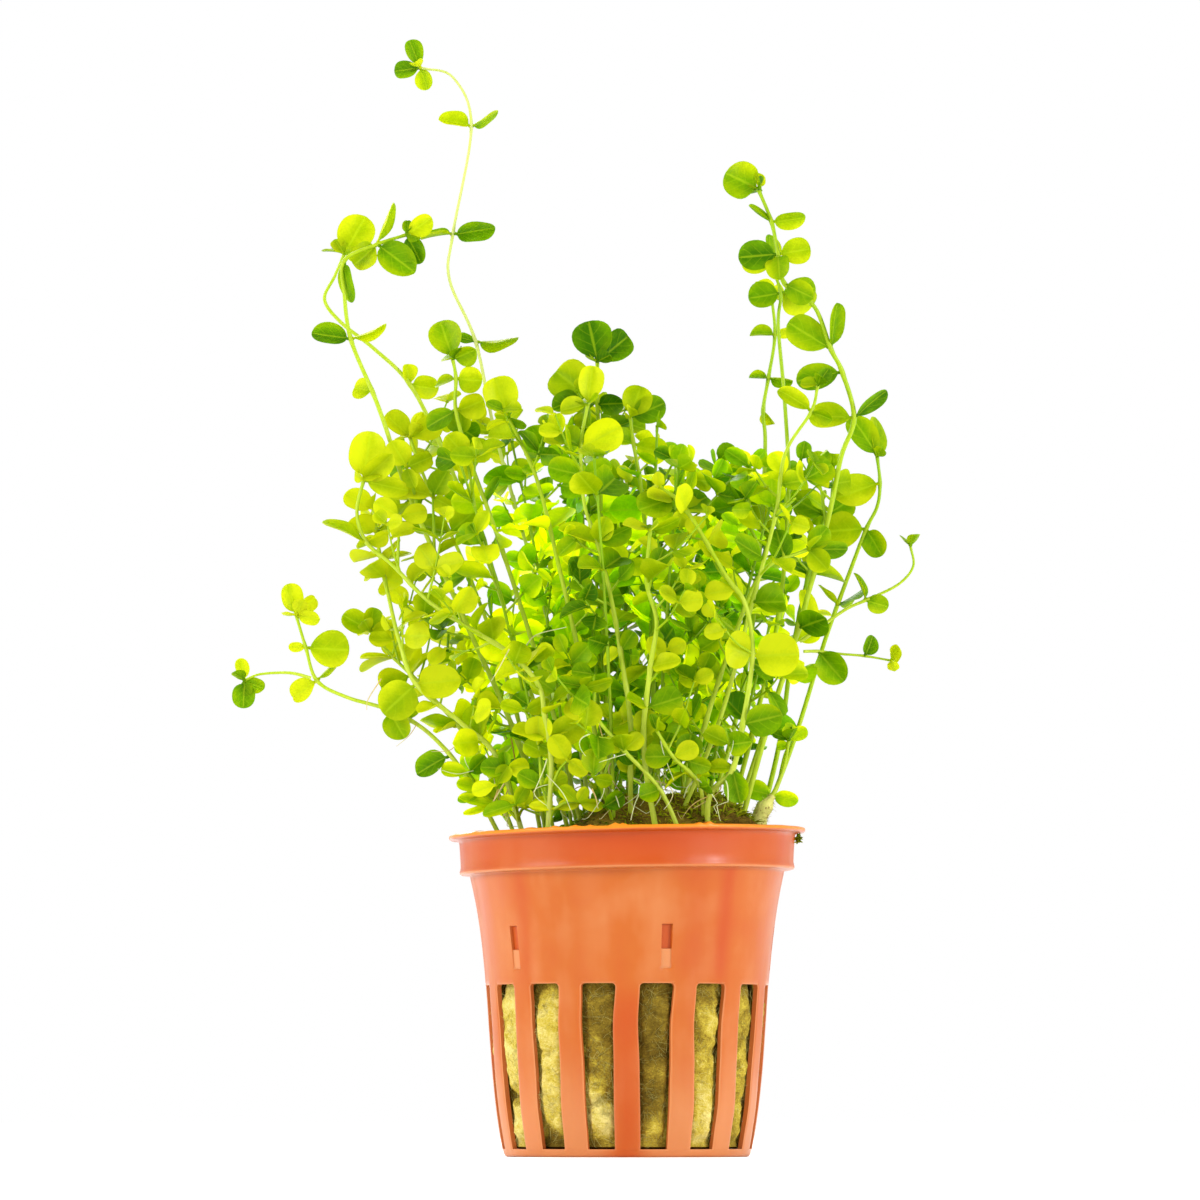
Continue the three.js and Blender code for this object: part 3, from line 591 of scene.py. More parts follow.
@dataclass(frozen=True)
class StoneWool:
    """Matted mineral fibre, yellow on its lumps, stained olive to brown on some lumps and between them,
    and painted darker between them as painted shade in the crevices.
    """

    painted_crevice_shade: Colour = (0.050, 0.032, 0.004)
    stained: Colour = (0.110, 0.070, 0.008)
    olive: Colour = (0.215, 0.145, 0.016)
    yellow: Colour = (0.470, 0.360, 0.040)
    bleached: Colour = (0.680, 0.580, 0.190)

    def material(self) -> bpy.types.Material:
        """Builds the material.

        Returns:
            The material.
        """
        graph = NodeGraph("stone_wool")
        lift, stain = graph.layer("tint")
        patch = graph.noise(graph.place(), 2.2, 4, 0.4)
        fibre = graph.noise(graph.place((0.6, 1, 1)), 0.4, 4, 1.8)
        reach = graph.math("SUBTRACT", 0.74, graph.times(stain, 0.58))
        # Wool that lies low between the lumps is painted darker: painted shade in the crevices. Stain
        # darkens it as well.
        tone = graph.times(graph.span(lift, 0.0, 0.8, 0.12, 1.0), reach)
        tone = graph.add(tone, graph.off_middle(patch, 0.6), graph.off_middle(fibre, 0.55))
        stops = [(0.05, self.painted_crevice_shade), (0.2, self.stained), (0.38, self.olive), (0.58, self.yellow),
                 (0.82, self.bleached)]
        colour = graph.ramp(tone, stops)
        graph.surface(colour, 0.95, graph.bump(fibre, 0.9, 0.25), Specular_IOR_Level=0.05)
        return graph.material


@dataclass(frozen=True)
class Strand:
    """Thin thread, such as a wool fibre, a root or a moss leaf, between a dark and a light tone.

    Attributes:
        name: Name of the material.
        dark: Darkest tone.
        light: Lightest tone.
        roughness: Roughness of the surface.
        through: Share of the light that comes through.
    """

    name: str
    dark: Colour
    light: Colour
    roughness: float = 0.7
    through: float = 0.25

    def material(self) -> bpy.types.Material:
        """Builds the material.

        Returns:
            The material.
        """
        graph = NodeGraph(self.name)
        tone, _ = graph.layer("tint")
        _, along = graph.layer("shape")
        patch = graph.noise(graph.place(), 1.6, 2)
        tone = graph.add(tone, graph.off_middle(patch, 0.6), graph.off_middle(along, 0.3))
        colour = graph.ramp(tone, [(0.0, self.dark), (1.0, self.light)])
        shader = graph.surface(colour, self.roughness, Specular_IOR_Level=0.1)
        graph.let_light_through(shader, colour, self.through)
        return graph.material


@dataclass(frozen=True)
class LeafBlade:
    """Thin fleshy leaf: paler midrib and side veins, mottled, glossy, bright against the light, and
    painted lighter at its rim, on one half and inside the clump.

    Attributes:
        shade: Darkest tone.
        green: Tone of most shaded leaves.
        lime: Tone of most lit leaves.
        pale: Lightest tone.
        vein: Tone of the midrib and the side veins.
        painted_inner_light: Factors on the colour of leaves inside the clump: painted light that makes up
            for the shade there.
        filter: Factors on the colour of the light that comes through.
        side_veins: How many side veins each half has.
        painted_fold_light: How much one half may be painted lighter than the other, as painted light and
            shade.
        painted_fold_turns: How fast that changes with a leaf's tone.
        through: Share of the light that comes through.
    """

    shade: Colour = (0.075, 0.230, 0.001)
    green: Colour = (0.230, 0.440, 0.001)
    lime: Colour = (0.460, 0.590, 0.001)
    pale: Colour = (0.700, 0.760, 0.010)
    vein: Colour = (0.620, 0.760, 0.020)
    painted_inner_light: Colour = (2.1, 1.95, 0.8)
    filter: Colour = (1.0, 0.97, 0.55)
    side_veins: float = 4.0
    painted_fold_light: float = 0.34
    painted_fold_turns: float = 60.0
    through: float = 0.6

    def material(self) -> bpy.types.Material:
        """Builds the material.

        Returns:
            The material.
        """
        graph = NodeGraph("leaf_blade")
        across, along = graph.layer("shape")
        tone, inside = graph.layer("tint")
        under = graph.math("GREATER_THAN", along, 1.5)
        along = graph.math("SUBTRACT", along, graph.times(under, 2.0))
        half = graph.math("SUBTRACT", across, 0.5)
        off_rib = graph.math("ABSOLUTE", half)
        # One half of each leaf is painted lighter and the other darker: painted light and shade across the
        # midrib's fold.
        painted_fold_light = graph.times(graph.math("SINE", graph.times(tone, self.painted_fold_turns)), self.painted_fold_light)
        patch = graph.noise(graph.place(), 2.2, 3)
        cells = graph.noise(graph.place(), 0.32, 2)
        mottle = graph.add(graph.times(patch, 0.4), graph.times(cells, 0.24))
        # Towards the rim the leaf is painted lighter and near the midrib darker: painted light through the
        # thin edge.
        towards_rim = graph.span(off_rib, 0.05, 0.48, -0.1, 0.12)
        towards_foot = graph.span(along, 0.45, 0.08, 0.03, -0.1)
        tone = graph.add(tone, graph.math("SUBTRACT", mottle, 0.32), graph.times(half, painted_fold_light), towards_rim,
                         towards_foot, graph.times(under, 0.1))
        stops = [(0.0, self.shade), (0.35, self.green), (0.68, self.lime), (1.0, self.pale)]
        colour = graph.ramp(tone, stops)
        # Leaves inside the clump are painted brighter: painted light that makes up for their shade.
        colour = graph.mix(inside, colour, graph.mix(1.0, colour, self.painted_inner_light, "MULTIPLY"))
        rib = graph.span(off_rib, 0.055, 0.012)
        slant = graph.math("SUBTRACT", along, graph.times(off_rib, 0.75))
        wave = graph.math("FRACT", graph.times(slant, self.side_veins))
        line = graph.span(graph.math("ABSOLUTE", graph.math("SUBTRACT", wave, 0.5)), 0.09, 0.0)
        line = graph.times(line, graph.span(off_rib, 0.46, 0.3))
        veins = graph.math("MAXIMUM", graph.times(rib, 0.42), graph.times(line, 0.22))
        colour = graph.mix(veins, colour, self.vein)
        # A thin line at the rim is painted lighter still: painted light through the edge.
        rim = graph.span(off_rib, 0.47, 0.5, 0.0, 0.3)
        colour = graph.mix(rim, colour, self.lime)
        height = graph.add(graph.times(cells, 0.5), graph.times(veins, -0.8))
        gloss = graph.span(patch, 0.3, 0.7, 0.30, 0.46)
        shader = graph.surface(colour, gloss, graph.bump(height, 0.6, 0.1), Specular_IOR_Level=0.07)
        graph.let_light_through(shader, graph.mix(1.0, colour, self.filter, "MULTIPLY"), self.through)
        return graph.material


@dataclass(frozen=True)
class StemSkin:
    """Juicy pale stem, palest at its foot and greener towards its tip, with fine streaks."""

    bleached: Colour = (0.660, 0.720, 0.230)
    pale: Colour = (0.620, 0.710, 0.070)
    lime: Colour = (0.470, 0.620, 0.008)
    green: Colour = (0.270, 0.480, 0.002)

    def material(self) -> bpy.types.Material:
        """Builds the material.

        Returns:
            The material.
        """
        graph = NodeGraph("stem_skin")
        tone, _ = graph.layer("tint")
        streak = graph.noise(graph.place((1, 1, 0.2)), 0.7, 2)
        tone = graph.add(tone, graph.off_middle(streak, 0.5))
        stops = [(0.0, self.green), (0.45, self.lime), (0.8, self.pale), (1.0, self.bleached)]
        colour = graph.ramp(tone, stops)
        shader = graph.surface(colour, 0.36, graph.bump(streak, 0.2, 0.05), Specular_IOR_Level=0.3)
        graph.let_light_through(shader, colour, 0.4)
        return graph.material


@dataclass(frozen=True)
class OldStem:
    """Old stem stub: felt from pale yellow to green, with brown flecks."""

    felt: Colour = (0.62, 0.56, 0.17)
    green: Colour = (0.46, 0.50, 0.08)
    fleck: Colour = (0.16, 0.07, 0.01)

    def material(self) -> bpy.types.Material:
        """Builds the material.

        Returns:
            The material.
        """
        graph = NodeGraph("old_stem")
        spots = graph.span(graph.noise(graph.place(), 0.55, 2), 0.60, 0.68)
        soft = graph.noise(graph.place((1, 1, 0.3)), 0.35, 3)
        felt = graph.mix(soft, self.felt, self.green)
        colour = graph.mix(graph.times(spots, 0.85), felt, self.fleck)
        graph.surface(colour, 0.85, graph.bump(soft, 0.7, 0.12))
        return graph.material


@dataclass(frozen=True)
class StudioFloor:
    """Plain pale floor."""

    colour: Colour = (0.97, 0.97, 0.97)

    def material(self) -> bpy.types.Material:
        """Builds the material.

        Returns:
            The material.
        """
        graph = NodeGraph("studio_floor")
        shader = graph.surface(self.colour, 0.9, Specular_IOR_Level=0.0, Emission_Strength=0.06)
        shader.inputs["Emission Color"].default_value = (1.0, 1.0, 1.0, 1.0)
        return graph.material


class Finish(Enum):
    """The object's finishes."""

    POT = PotPlastic()
    WOOL = StoneWool()
    FIBRE = Strand("wool_fibre", (0.13, 0.10, 0.012), (0.68, 0.60, 0.19), 0.8, 0.3)
    MOSS = Strand("moss_leaf", (0.065, 0.105, 0.001), (0.48, 0.52, 0.004), 0.75, 0.3)
    ROOT = Strand("hair_root", (0.58, 0.36, 0.04), (0.80, 0.82, 0.48), 0.5, 0.4)
    LEAF = LeafBlade()
    STEM = StemSkin()
    OLD_STEM = OldStem()
    FLOOR = StudioFloor()


class Wardrobe:
    """Every finish, built once when it is first asked for."""

    def __init__(self) -> None:
        """Starts with no finish built."""
        self.made: dict[Finish, bpy.types.Material] = {}

    def take(self, *finishes: Finish) -> list[bpy.types.Material]:
        """The materials of some finishes.

        Args:
            finishes: The finishes wanted.

        Returns:
            Their materials, in the same order.
        """
        for finish in finishes:
            if finish not in self.made:
                self.made[finish] = finish.value.material()
        return [self.made[finish] for finish in finishes]

    def hand_over(self, skin: Skin, name: str, slot: str, *finishes: Finish,
                  nodes: tuple[str, ...] = ()) -> None:
        """Builds a piece that rides on the body, in place of the solids it stands for.

        Args:
            skin: Its surfaces.
            name: Its name.
            slot: Not used.
            finishes: Its finishes, by number.
            nodes: Names of the solids that it replaces.
        """
        piece = skin.build(name, self.take(*finishes))
        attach(piece, BODY)
        if nodes:
            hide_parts(*nodes)
        log.info("%s: %d faces", piece.name, len(piece.data.polygons))


# Pot

@dataclass
class NetPot:
    """Net pot: a thin turned wall with tall slots, a stepped collar and a flat rim.

    Attributes:
        wardrobe: The finishes.
        wall: Thickness of the wall.
        slots: How many slots go round the lower half.
        slot_bottom: Height of the slots' lower ends.
        slot_top: Height of the slots' upper ends.
        slot_widths: Width of a slot at its lower and upper end.
        slot_round: Radius of a slot's upper corners.
        first_slot: Azimuth of the first slot.
        cells: Grid cells across one slot, and across one rib.
        lugs: Azimuths of the stacking notches.
        lug_low: Height of a notch's lower end.
        lug_high: Height of a notch's upper end.
        lug_half: Half of a notch's width.
        lug_depth: Depth of a notch at its middle.
        drains: How many drain holes the foot has.
        drain_from: Radius at which a drain hole starts.
        drain_to: Radius at which it ends.
        drain_half: Half of a drain hole's width.
        lean: How much higher the rim stands for each millimetre to the right.
        wall_heights: Heights at which the wall's radius was measured.
        wall_radii: Outer radius at each of them.
        foot_outer: Outer rows of the foot, each [radius, height].
        foot_inner: Inner rows of the foot.
        collar_outer: Outer rows of the collar and the rim.
        collar_inner: Inner rows of the collar and the rim.
        flakes: Flakes on the rim, each [azimuth, half width in degrees, height].
    """

    wardrobe: Wardrobe
    wall: float = 0.9
    slots: int = 15
    slot_bottom: float = 1.2
    slot_top: float = 25.8
    slot_widths: tuple[float, float] = (4.1, 5.3)
    slot_round: float = 0.6
    first_slot: float = 12.0
    cells: int = 12
    lugs: tuple[float, ...] = (-50.0, 15.4, 86.0, 160.7, 235.3)
    lug_low: float = 28.0
    lug_high: float = 34.5
    lug_half: float = 0.75
    lug_depth: float = 0.5
    drains: int = 5
    drain_from: float = 8.5
    drain_to: float = 14.5
    drain_half: float = 1.5
    lean: float = 0.023
    wall_heights: tuple[float, ...] = (0.0, 15.5, 26.0, 35.5, 42.7)
    wall_radii: tuple[float, ...] = (18.6, 20.7, 21.2, 22.6, 23.8)
    foot_outer: tuple = ((2.0, 0.25), (4.5, 0.25), (7.0, 0.25), (8.5, 0.25), (10.0, 0.25), (11.5, 0.25),
                         (13.0, 0.25), (14.5, 0.25), (15.8, 0.22), (16.9, 0.02), (18.0, 0.0), (18.4, 0.15),
                         (18.62, 0.5), (18.68, 0.85))
    foot_inner: tuple = ((2.0, 0.9), (4.5, 0.9), (7.0, 0.9), (8.5, 0.9), (10.0, 0.9), (11.5, 0.9),
                         (13.0, 0.9), (14.5, 0.9), (15.8, 0.9), (16.6, 0.9), (17.2, 0.9), (17.5, 0.94),
                         (17.68, 1.02), (17.75, 1.1))
    collar_outer: tuple = ((23.78, 42.5), (23.92, 42.72), (24.3, 42.82), (24.9, 42.84), (25.22, 42.9),
                           (25.36, 43.05), (25.38, 43.3), (25.3, 43.6), (25.22, 44.0), (25.26, 44.9),
                           (25.32, 45.8), (25.38, 46.75), (25.44, 47.55), (25.52, 47.95), (25.8, 48.17),
                           (26.3, 48.25), (26.75, 48.27), (26.97, 48.41), (27.04, 48.65), (26.98, 48.89))
    collar_inner: tuple = ((22.9, 42.7), (22.96, 43.0), (23.2, 43.4), (23.7, 43.62), (24.05, 43.72),
                           (24.24, 43.9), (24.3, 44.2), (24.32, 44.5), (24.33, 44.8), (24.38, 45.3),
                           (24.43, 46.0), (24.5, 46.95), (24.55, 47.75), (24.6, 48.25), (24.7, 48.65),
                           (24.95, 48.89), (25.4, 48.99), (25.9, 49.01), (26.4, 49.02), (26.78, 49.01))
    flakes: tuple = ((-4.0, 1.1, 0.42), (-1.5, 0.9, 0.3), (27.0, 1.0, 0.4), (23.5, 0.9, 0.25),
                     (-12.0, 0.9, 0.2), (-17.0, 1.2, 0.25), (-24.0, 0.9, 0.2), (-33.0, 1.0, 0.2),
                     (-58.0, 1.2, 0.2), (118.0, 1.2, 0.35), (171.0, 1.4, 0.4), (-140.0, 1.2, 0.3))

    def radius(self, height: Array) -> Array:
        """Outer radius of the wall at given heights: the cubic that best fits the measured radii."""
        return np.polyval(np.polyfit(self.wall_heights, self.wall_radii, 3), height)

    @property
    def lug_middle(self) -> float:
        """Height at which a notch's lower half meets its upper half."""
        return self.lug_low + 0.45 * (self.lug_high - self.lug_low)

    def rows(self) -> tuple[Array, Array, int, int]:
        """Rows of the outer and the inner sheet, matched one to one.

        Returns:
            Outer rows and inner rows as [radius, height], and the first and last row of the slots.
        """
        turn = np.linspace(0, math.pi, 40)
        slot = self.slot_bottom + (self.slot_top - self.slot_bottom) * (1 - np.cos(turn)) / 2
        low, middle, high = self.lug_low, self.lug_middle, self.lug_high
        notch = [self.slot_top + 0.3, self.slot_top + 0.9, low - 0.6, low - 0.05, low + 0.05, low + 0.8,
                 low + 1.6, low + 2.3, middle - 0.06, middle + 0.06, middle + 0.8, middle + 1.6,
                 high - 1.0, high - 0.5, high - 0.05, high + 0.05, high + 0.5]
        upper = np.linspace(self.lug_high + 1.2, 42.2, 8)
        heights = np.concatenate([slot, notch, upper])
        radii = self.radius(heights)
        outer = np.vstack([self.foot_outer, joined(radii, heights), self.collar_outer])
        inner = np.vstack([self.foot_inner, joined(radii - self.wall, heights), self.collar_inner])
        first = len(self.foot_outer)
        return outer, inner, first, first + len(slot) - 1

    def slot_half(self, outer: Array, first: int, last: int) -> Array:
        """Half of a slot's angle in every row.

        Args:
            outer: Outer rows.
            first: First row of the slots.
            last: Last row of the slots.

        Returns:
            Half angles in radians. Below the slots they leave ribs as wide as the drain holes.
        """
        radii, heights = outer.T
        sector = math.pi / self.slots
        rib = np.minimum(np.arcsin(np.minimum(self.drain_half / radii, 1)), 0.96 * sector)
        share = (heights - self.slot_bottom) / (self.slot_top - self.slot_bottom)
        low, high = self.slot_widths
        half_width = (low + (high - low) * np.clip(share, 0, 1)) / 2
        rise = np.clip(heights - self.slot_top + self.slot_round, 0, self.slot_round)
        half_width = half_width - self.slot_round + np.sqrt(self.slot_round**2 - rise**2)
        half = np.arcsin(np.minimum(half_width / radii, 0.9))
        half[:first] = sector - rib[:first]
        edge = half[first:first + 1]
        rounding = slice(first - 4, first)
        half[rounding] = half[rounding] + (edge - half[rounding]) * np.linspace(0.2, 0.95, 4)
        half[last + 1:] = math.asin(high / 2 / radii[last])
        return half

    def angles(self, half: Array) -> Array:
        """Angles of the grid's columns in every row: even steps across each slot and each rib.

        Args:
            half: Half of a slot's angle in every row.

        Returns:
            Angles in radians: (rows, columns).
        """
        sector = 2 * math.pi / self.slots
        step = np.arange(self.cells) / self.cells
        across = np.concatenate([2 * step - 1, np.zeros(self.cells)])
        along_rib = np.concatenate([np.zeros(self.cells), step])
        on_slot = np.concatenate([np.ones(self.cells), np.zeros(self.cells)])
        within = on_slot * across * half[:, None]
        within = within + (1 - on_slot) * (half[:, None] + along_rib * (sector - 2 * half[:, None]))
        centres = math.radians(self.first_slot) + np.arange(self.slots) * sector
        return (centres[:, None, None] + within[None]).transpose(1, 0, 2).reshape(len(half), -1)

    def follow_lugs(self, angles: Array, outer: Array) -> Array:
        """Columns moved sideways near each notch, so that two of them run along each of its sides.

        Args:
            angles: Angles of the grid.
            outer: Outer rows.

        Returns:
            The angles with those columns moved.
        """
        radii, heights = outer.T
        level = int(np.argmin(np.abs(heights - self.lug_low)))
        near = smooth(self.lug_low - 1.8, self.lug_low - 0.4, heights)
        near = near * (1 - smooth(self.lug_high + 0.5, self.lug_high + 2.5, heights))
        moved = angles.copy()
        for lug in self.lugs:
            for side in (-1, 1):
                edge = math.radians(lug) + side * self.lug_half / radii[level]
                column = int(np.argmin(np.abs(wrapped(angles[level] - edge, 2 * math.pi))))
                for shift, step in ((column, 0.003), (column - side, -0.003)):
                    gap = wrapped(edge + side * step - angles[:, shift], 2 * math.pi)
                    moved[:, shift] = angles[:, shift] + near * gap
        return moved

    def notch(self, angles: Array, heights: Array, radii: Array) -> Array:
        """Depth of the stacking notches: a shallow lower half and a deeper upper half.

        Args:
            angles: Angles of the points.
            heights: Heights of the points.
            radii: Radii of the points.

        Returns:
            Depth at each point.
        """
        step = (heights > self.lug_low) & (heights < self.lug_high)
        share = np.where(heights > self.lug_middle, 1.0, 0.4)
        depth = np.zeros_like(angles)
        for lug in self.lugs:
            across = np.abs(wrapped(angles - math.radians(lug), 2 * math.pi)) * radii
            depth = np.maximum(depth, (across < self.lug_half) * step * share * self.lug_depth)
        return depth

    def settle(self, points: Array) -> Array:
        """The pot as it stands: a leaning, slightly oval rim with a few flakes, and ribs that sway.

        Args:
            points: Points of a true turned pot.

        Returns:
            The same points, moved.
        """
        x, y, z = np.moveaxis(points, -1, 0)
        azimuth = np.degrees(np.arctan2(x, -y))
        upper = smooth(27, 50, z)
        rise = self.lean * x * upper
        edge = smooth(48.65, 48.95, z)
        for centre, width, height in self.flakes:
            off = wrapped(azimuth - centre, 360)
            rise = rise + edge * height * np.exp(-((off / width) ** 2))
        flat = joined(np.cos(np.radians(azimuth)), np.sin(np.radians(azimuth)), 0.0)
        ripple = fractal(flat.reshape(-1, 3) * 9, 1.2, 3.0).reshape(x.shape)
        rise = rise + 0.05 * ripple * smooth(48.05, 48.95, z)
        oval = 1 + 0.003 * np.cos(np.radians(2 * azimuth + 30)) * upper
        ribs = smooth(2, 9, z) * (1 - smooth(20, 26, z))
        warp = oval * (1 + 0.004 * ripple * ribs)
        bent = joined(x * 0.35, y * 0.35, z).reshape(-1, 3)
        sway = 0.018 * ribs * value_noise(bent, 6.5, 41.0).reshape(x.shape)
        across = (x * np.cos(sway) - y * np.sin(sway)) * warp
        deep = (x * np.sin(sway) + y * np.cos(sway)) * warp
        return joined(across, deep, z + rise)

    def build(self) -> None:
        """Builds the pot: two matched sheets, holes left out, and walls round every hole."""
        outer, inner, first, last = self.rows()
        angles = self.follow_lugs(self.angles(self.slot_half(outer, first, last)), outer)
        rows, columns = angles.shape
        kept = self.kept_cells(outer[:, 0], rows, columns, first, last)
        open_edge = self.edge_points(kept)
        sheets = []
        for rim, pull in ((outer, 1.0), (inner, -1.0)):
            radii = rim[:, :1] - pull * 0.1 * open_edge
            heights = rim[:, 1:] + np.zeros_like(angles)
            if pull > 0:
                notch = self.notch(angles, heights, radii)
                radii = radii - notch
            sheets.append(self.settle(on_circle(radii, angles, heights)))
        skin = Skin()
        starts = [skin.place(sheet) for sheet in sheets]
        poles = [skin.place(np.array([[0.0, 0.0, level[0, 1]]])) for level in (outer, inner)]
        self.cover_sheets(skin, starts, poles, kept, self.shades(angles, outer, notch, open_edge))
        self.wardrobe.hand_over(skin, "pot_wall", "pot_plastic", Finish.POT, nodes=("net_pot",))

    def kept_cells(self, radii: Array, rows: int, columns: int, first: int, last: int) -> Array:
        """Which cells of the grid are plastic: all but the slots and the drain holes.

        Args:
            radii: Outer radius of every row.
            rows: How many rows there are.
            columns: How many columns there are.
            first: First row of the slots.
            last: Last row of the slots.

        Returns:
            True for each cell that is kept: (rows - 1, columns).
        """
        period = 2 * self.cells
        column = np.arange(columns)
        kept = np.ones((rows - 1, columns), dtype=bool)
        kept[first:last, column % period < self.cells] = False
        every = self.slots // self.drains
        drain = (column % period >= self.cells) & (column // period % every == every - 1)
        in_foot = np.arange(rows - 1) < first
        row = in_foot & (radii[:-1] > self.drain_from - 0.1) & (radii[1:] < self.drain_to + 0.1)
        kept[np.ix_(row, drain)] = False
        return kept

    @staticmethod
    def edge_points(kept: Array) -> Array:
        """Which points lie on the edge of a hole.

        Args:
            kept: Which cells are plastic.

        Returns:
            1 for a point on an edge and 0 elsewhere: (rows, columns).
        """
        padded = np.pad(kept, ((1, 1), (0, 0)), mode="edge")
        beside = np.roll(padded, 1, axis=1)
        total = sum(cells.astype(float) for cells in (padded[:-1], padded[1:], beside[:-1], beside[1:]))
        return ((total > 0) & (total < 4)).astype(float)

    def shades(self, angles: Array, outer: Array, notch: Array, open_edge: Array) -> Array:
        """How pale and how deep the plastic's colour is.

        Hole edges, the rim and the step below the collar are painted pale as painted highlights, three
        upright bands of painted sheen lighten the body, and the notches' upward-facing lower halves are
        painted pale as painted light. The ribs' lower ends are pale. Three upright bands are painted deep
        as painted dark reflections and the notches' upper halves as painted shade; the middle rib and the
        collar's middle, which face the camera, are painted deep against paler sides that stand for
        reflected light. The whole collar is deeper, and deeper still towards its top as painted shade
        under the rim's flange.

        Args:
            angles: Angles of the grid.
            outer: Outer rows.
            notch: Depth of the notches.
            open_edge: 1 for each point on a hole's edge.

        Returns:
            Pale and deep share at each point.
        """
        heights = outer[:, 1:] + np.zeros_like(angles)
        azimuth = wrapped(np.degrees(angles), 360)

        def band(middle: float, half: float) -> Array:
            """Share of an upright band that fades out on both sides."""
            return np.exp(-(((azimuth - middle) / half) ** 2))

        collar = smooth(42.4, 43.0, heights)
        lip = smooth(48.05, 48.55, heights)
        low_lip = np.exp(-(((heights - 43.0) / 0.25) ** 2))
        body = (1 - collar) * smooth(22, 30, heights)
        ribs = 1 - smooth(20, 27, heights)
        # Painted dark reflection bands on the body; painted shade on the collar, deepest in its middle and
        # under the rim's flange, on the middle rib where it faces the camera, and in the notches' upper
        # halves.
        deep = body * (0.8 * band(40, 4) + 0.4 * band(-44, 4) + 0.3 * band(27, 6))
        deep = deep + collar * (0.5 + 0.45 * band(8, 45)) * (0.8 + 0.2 * smooth(44, 47, heights))
        deep = deep + 0.6 * ribs * band(0, 8) + 0.75 * (notch > 0.3)
        low_end = 1 - smooth(4, 19, heights)
        shallow = (notch > 0) & (notch < 0.3)
        # Painted sheen bands on the body; painted highlights on hole edges, on the notches' upward-facing
        # lower halves, on the rim and on the step below the collar. The ribs' lower ends are pale.
        pale = body * (0.2 * band(-14, 5) + 0.24 * band(11.5, 5) + 0.3 * band(-58, 9))
        pale = pale + 0.75 * low_end * ribs * (1 - band(0, 10))
        pale = pale + 0.8 * open_edge + 0.9 * shallow + 0.3 * lip + 0.9 * low_lip
        deep = np.clip(deep, 0, 1) * (1 - 0.7 * lip) * (1 - low_lip)
        return joined(np.clip(pale, 0, 1), deep)

    @staticmethod
    def cover_sheets(skin: Skin, starts: list[int], poles: list[int], kept: Array,
                     shades: Array) -> None:
        """Adds the faces of both sheets, of the rim, of the foot's middle and of the holes' walls.

        Args:
            skin: Where they go.
            starts: First point of the outer and the inner sheet.
            poles: Middle point of the outer and the inner foot.
            kept: Which cells are plastic.
            shades: Pale and deep share at each point.
        """
        rows, columns, _ = shades.shape
        grid = np.arange(rows * columns).reshape(rows, columns)
        across = np.roll(grid, -1, axis=1)
        tint = shades.reshape(-1, 2)
        # The outer sheet's top two rows take the painted glow of the rim's edge.
        painted_rim_glow = np.repeat([[0.0, 0.0], [1.0, 0.0]], [(rows - 2) * columns, 2 * columns], axis=0)
        cells = joined(grid[:-1], across[:-1], across[1:], grid[1:])[kept]
        skin.cover(cells + starts[0], painted_rim_glow[cells], tint[cells])
        # The inner sheet is painted deep: painted shade inside the pot.
        skin.cover(cells[:, ::-1] + starts[1], np.zeros(2), np.array([0.0, 0.7]))
        rim = joined(grid[-1], across[-1])
        loop = np.concatenate([rim + starts[0], rim[:, ::-1] + starts[1]], axis=1)
        # The rim's top is painted pale and glowing: painted highlight and painted glow.
        skin.cover(loop, np.array([1.0, 0.0]), np.array([0.8, 0.0]))
        for start, pole, order in ((starts[0], poles[0], -1), (starts[1], poles[1], 1)):
            pair = joined(grid[0], across[0])[:, ::order]
            fan = np.concatenate([pair + start, np.full((columns, 1), pole)], axis=1)
            skin.cover(fan, np.zeros(2), np.zeros(2))
        beside = np.roll(kept, 1, axis=1)
        for found, near, far, order in ((kept & ~beside, grid[1:], grid[:-1], 1),
                                        (~kept & beside, grid[1:], grid[:-1], -1),
                                        (kept[:-1] & ~kept[1:], grid[1:-1], across[1:-1], 1),
                                        (~kept[:-1] & kept[1:], grid[1:-1], across[1:-1], -1)):
            edge = joined(near, far)[found]
            wall = np.concatenate([edge + starts[0], edge[:, ::-1] + starts[1]], axis=1)[:, ::order]
            # Hole walls are painted partly pale and a little deep: painted highlight and painted shade on
            # the walls.
            skin.cover(wall, np.zeros(2), np.array([0.4, 0.25]))


# Growing medium

# Lumps of wool that the slots show, each as [azimuth, height, half width in degrees, half height,
# how far it stands out, how dark it is stained]
WOOL_LUMPS = (
    (-61, 18.5, 13, 8.0, 1.00, 0.12),
    (-59, 4.8, 12, 3.8, 0.95, 0.05),
    (-36, 26.0, 12, 3.4, 0.70, 0.60),
    (-38, 19.8, 11, 3.9, 1.00, 0.18),
    (-34, 10.2, 11, 5.6, 1.00, 0.12),
    (-34, 3.0, 9, 2.2, 0.55, 0.75),
    (-12, 22.5, 13, 6.2, 0.75, 0.68),
    (-10, 13.8, 11, 3.6, 0.80, 0.62),
    (-17, 10.2, 6, 2.2, 1.00, 0.15),
    (-9, 6.6, 10, 2.4, 1.00, 0.02),
    (-11, 2.9, 11, 1.9, 0.80, 0.45),
    (12, 21.0, 12, 7.5, 0.85, 0.82),
    (13, 10.5, 12, 6.0, 0.80, 0.74),
    (11, 3.4, 11, 3.2, 0.85, 0.42),
    (35, 25.0, 11, 3.4, 0.75, 0.50),
    (38, 19.5, 9, 3.8, 1.00, 0.26),
    (34, 13.6, 10, 3.5, 0.90, 0.32),
    (36, 6.0, 11, 5.0, 1.00, 0.12),
    (60, 21.5, 10, 6.0, 0.85, 0.46),
    (61, 12.5, 9, 5.0, 0.85, 0.40),
    (60, 4.2, 9, 4.0, 0.85, 0.38),
)


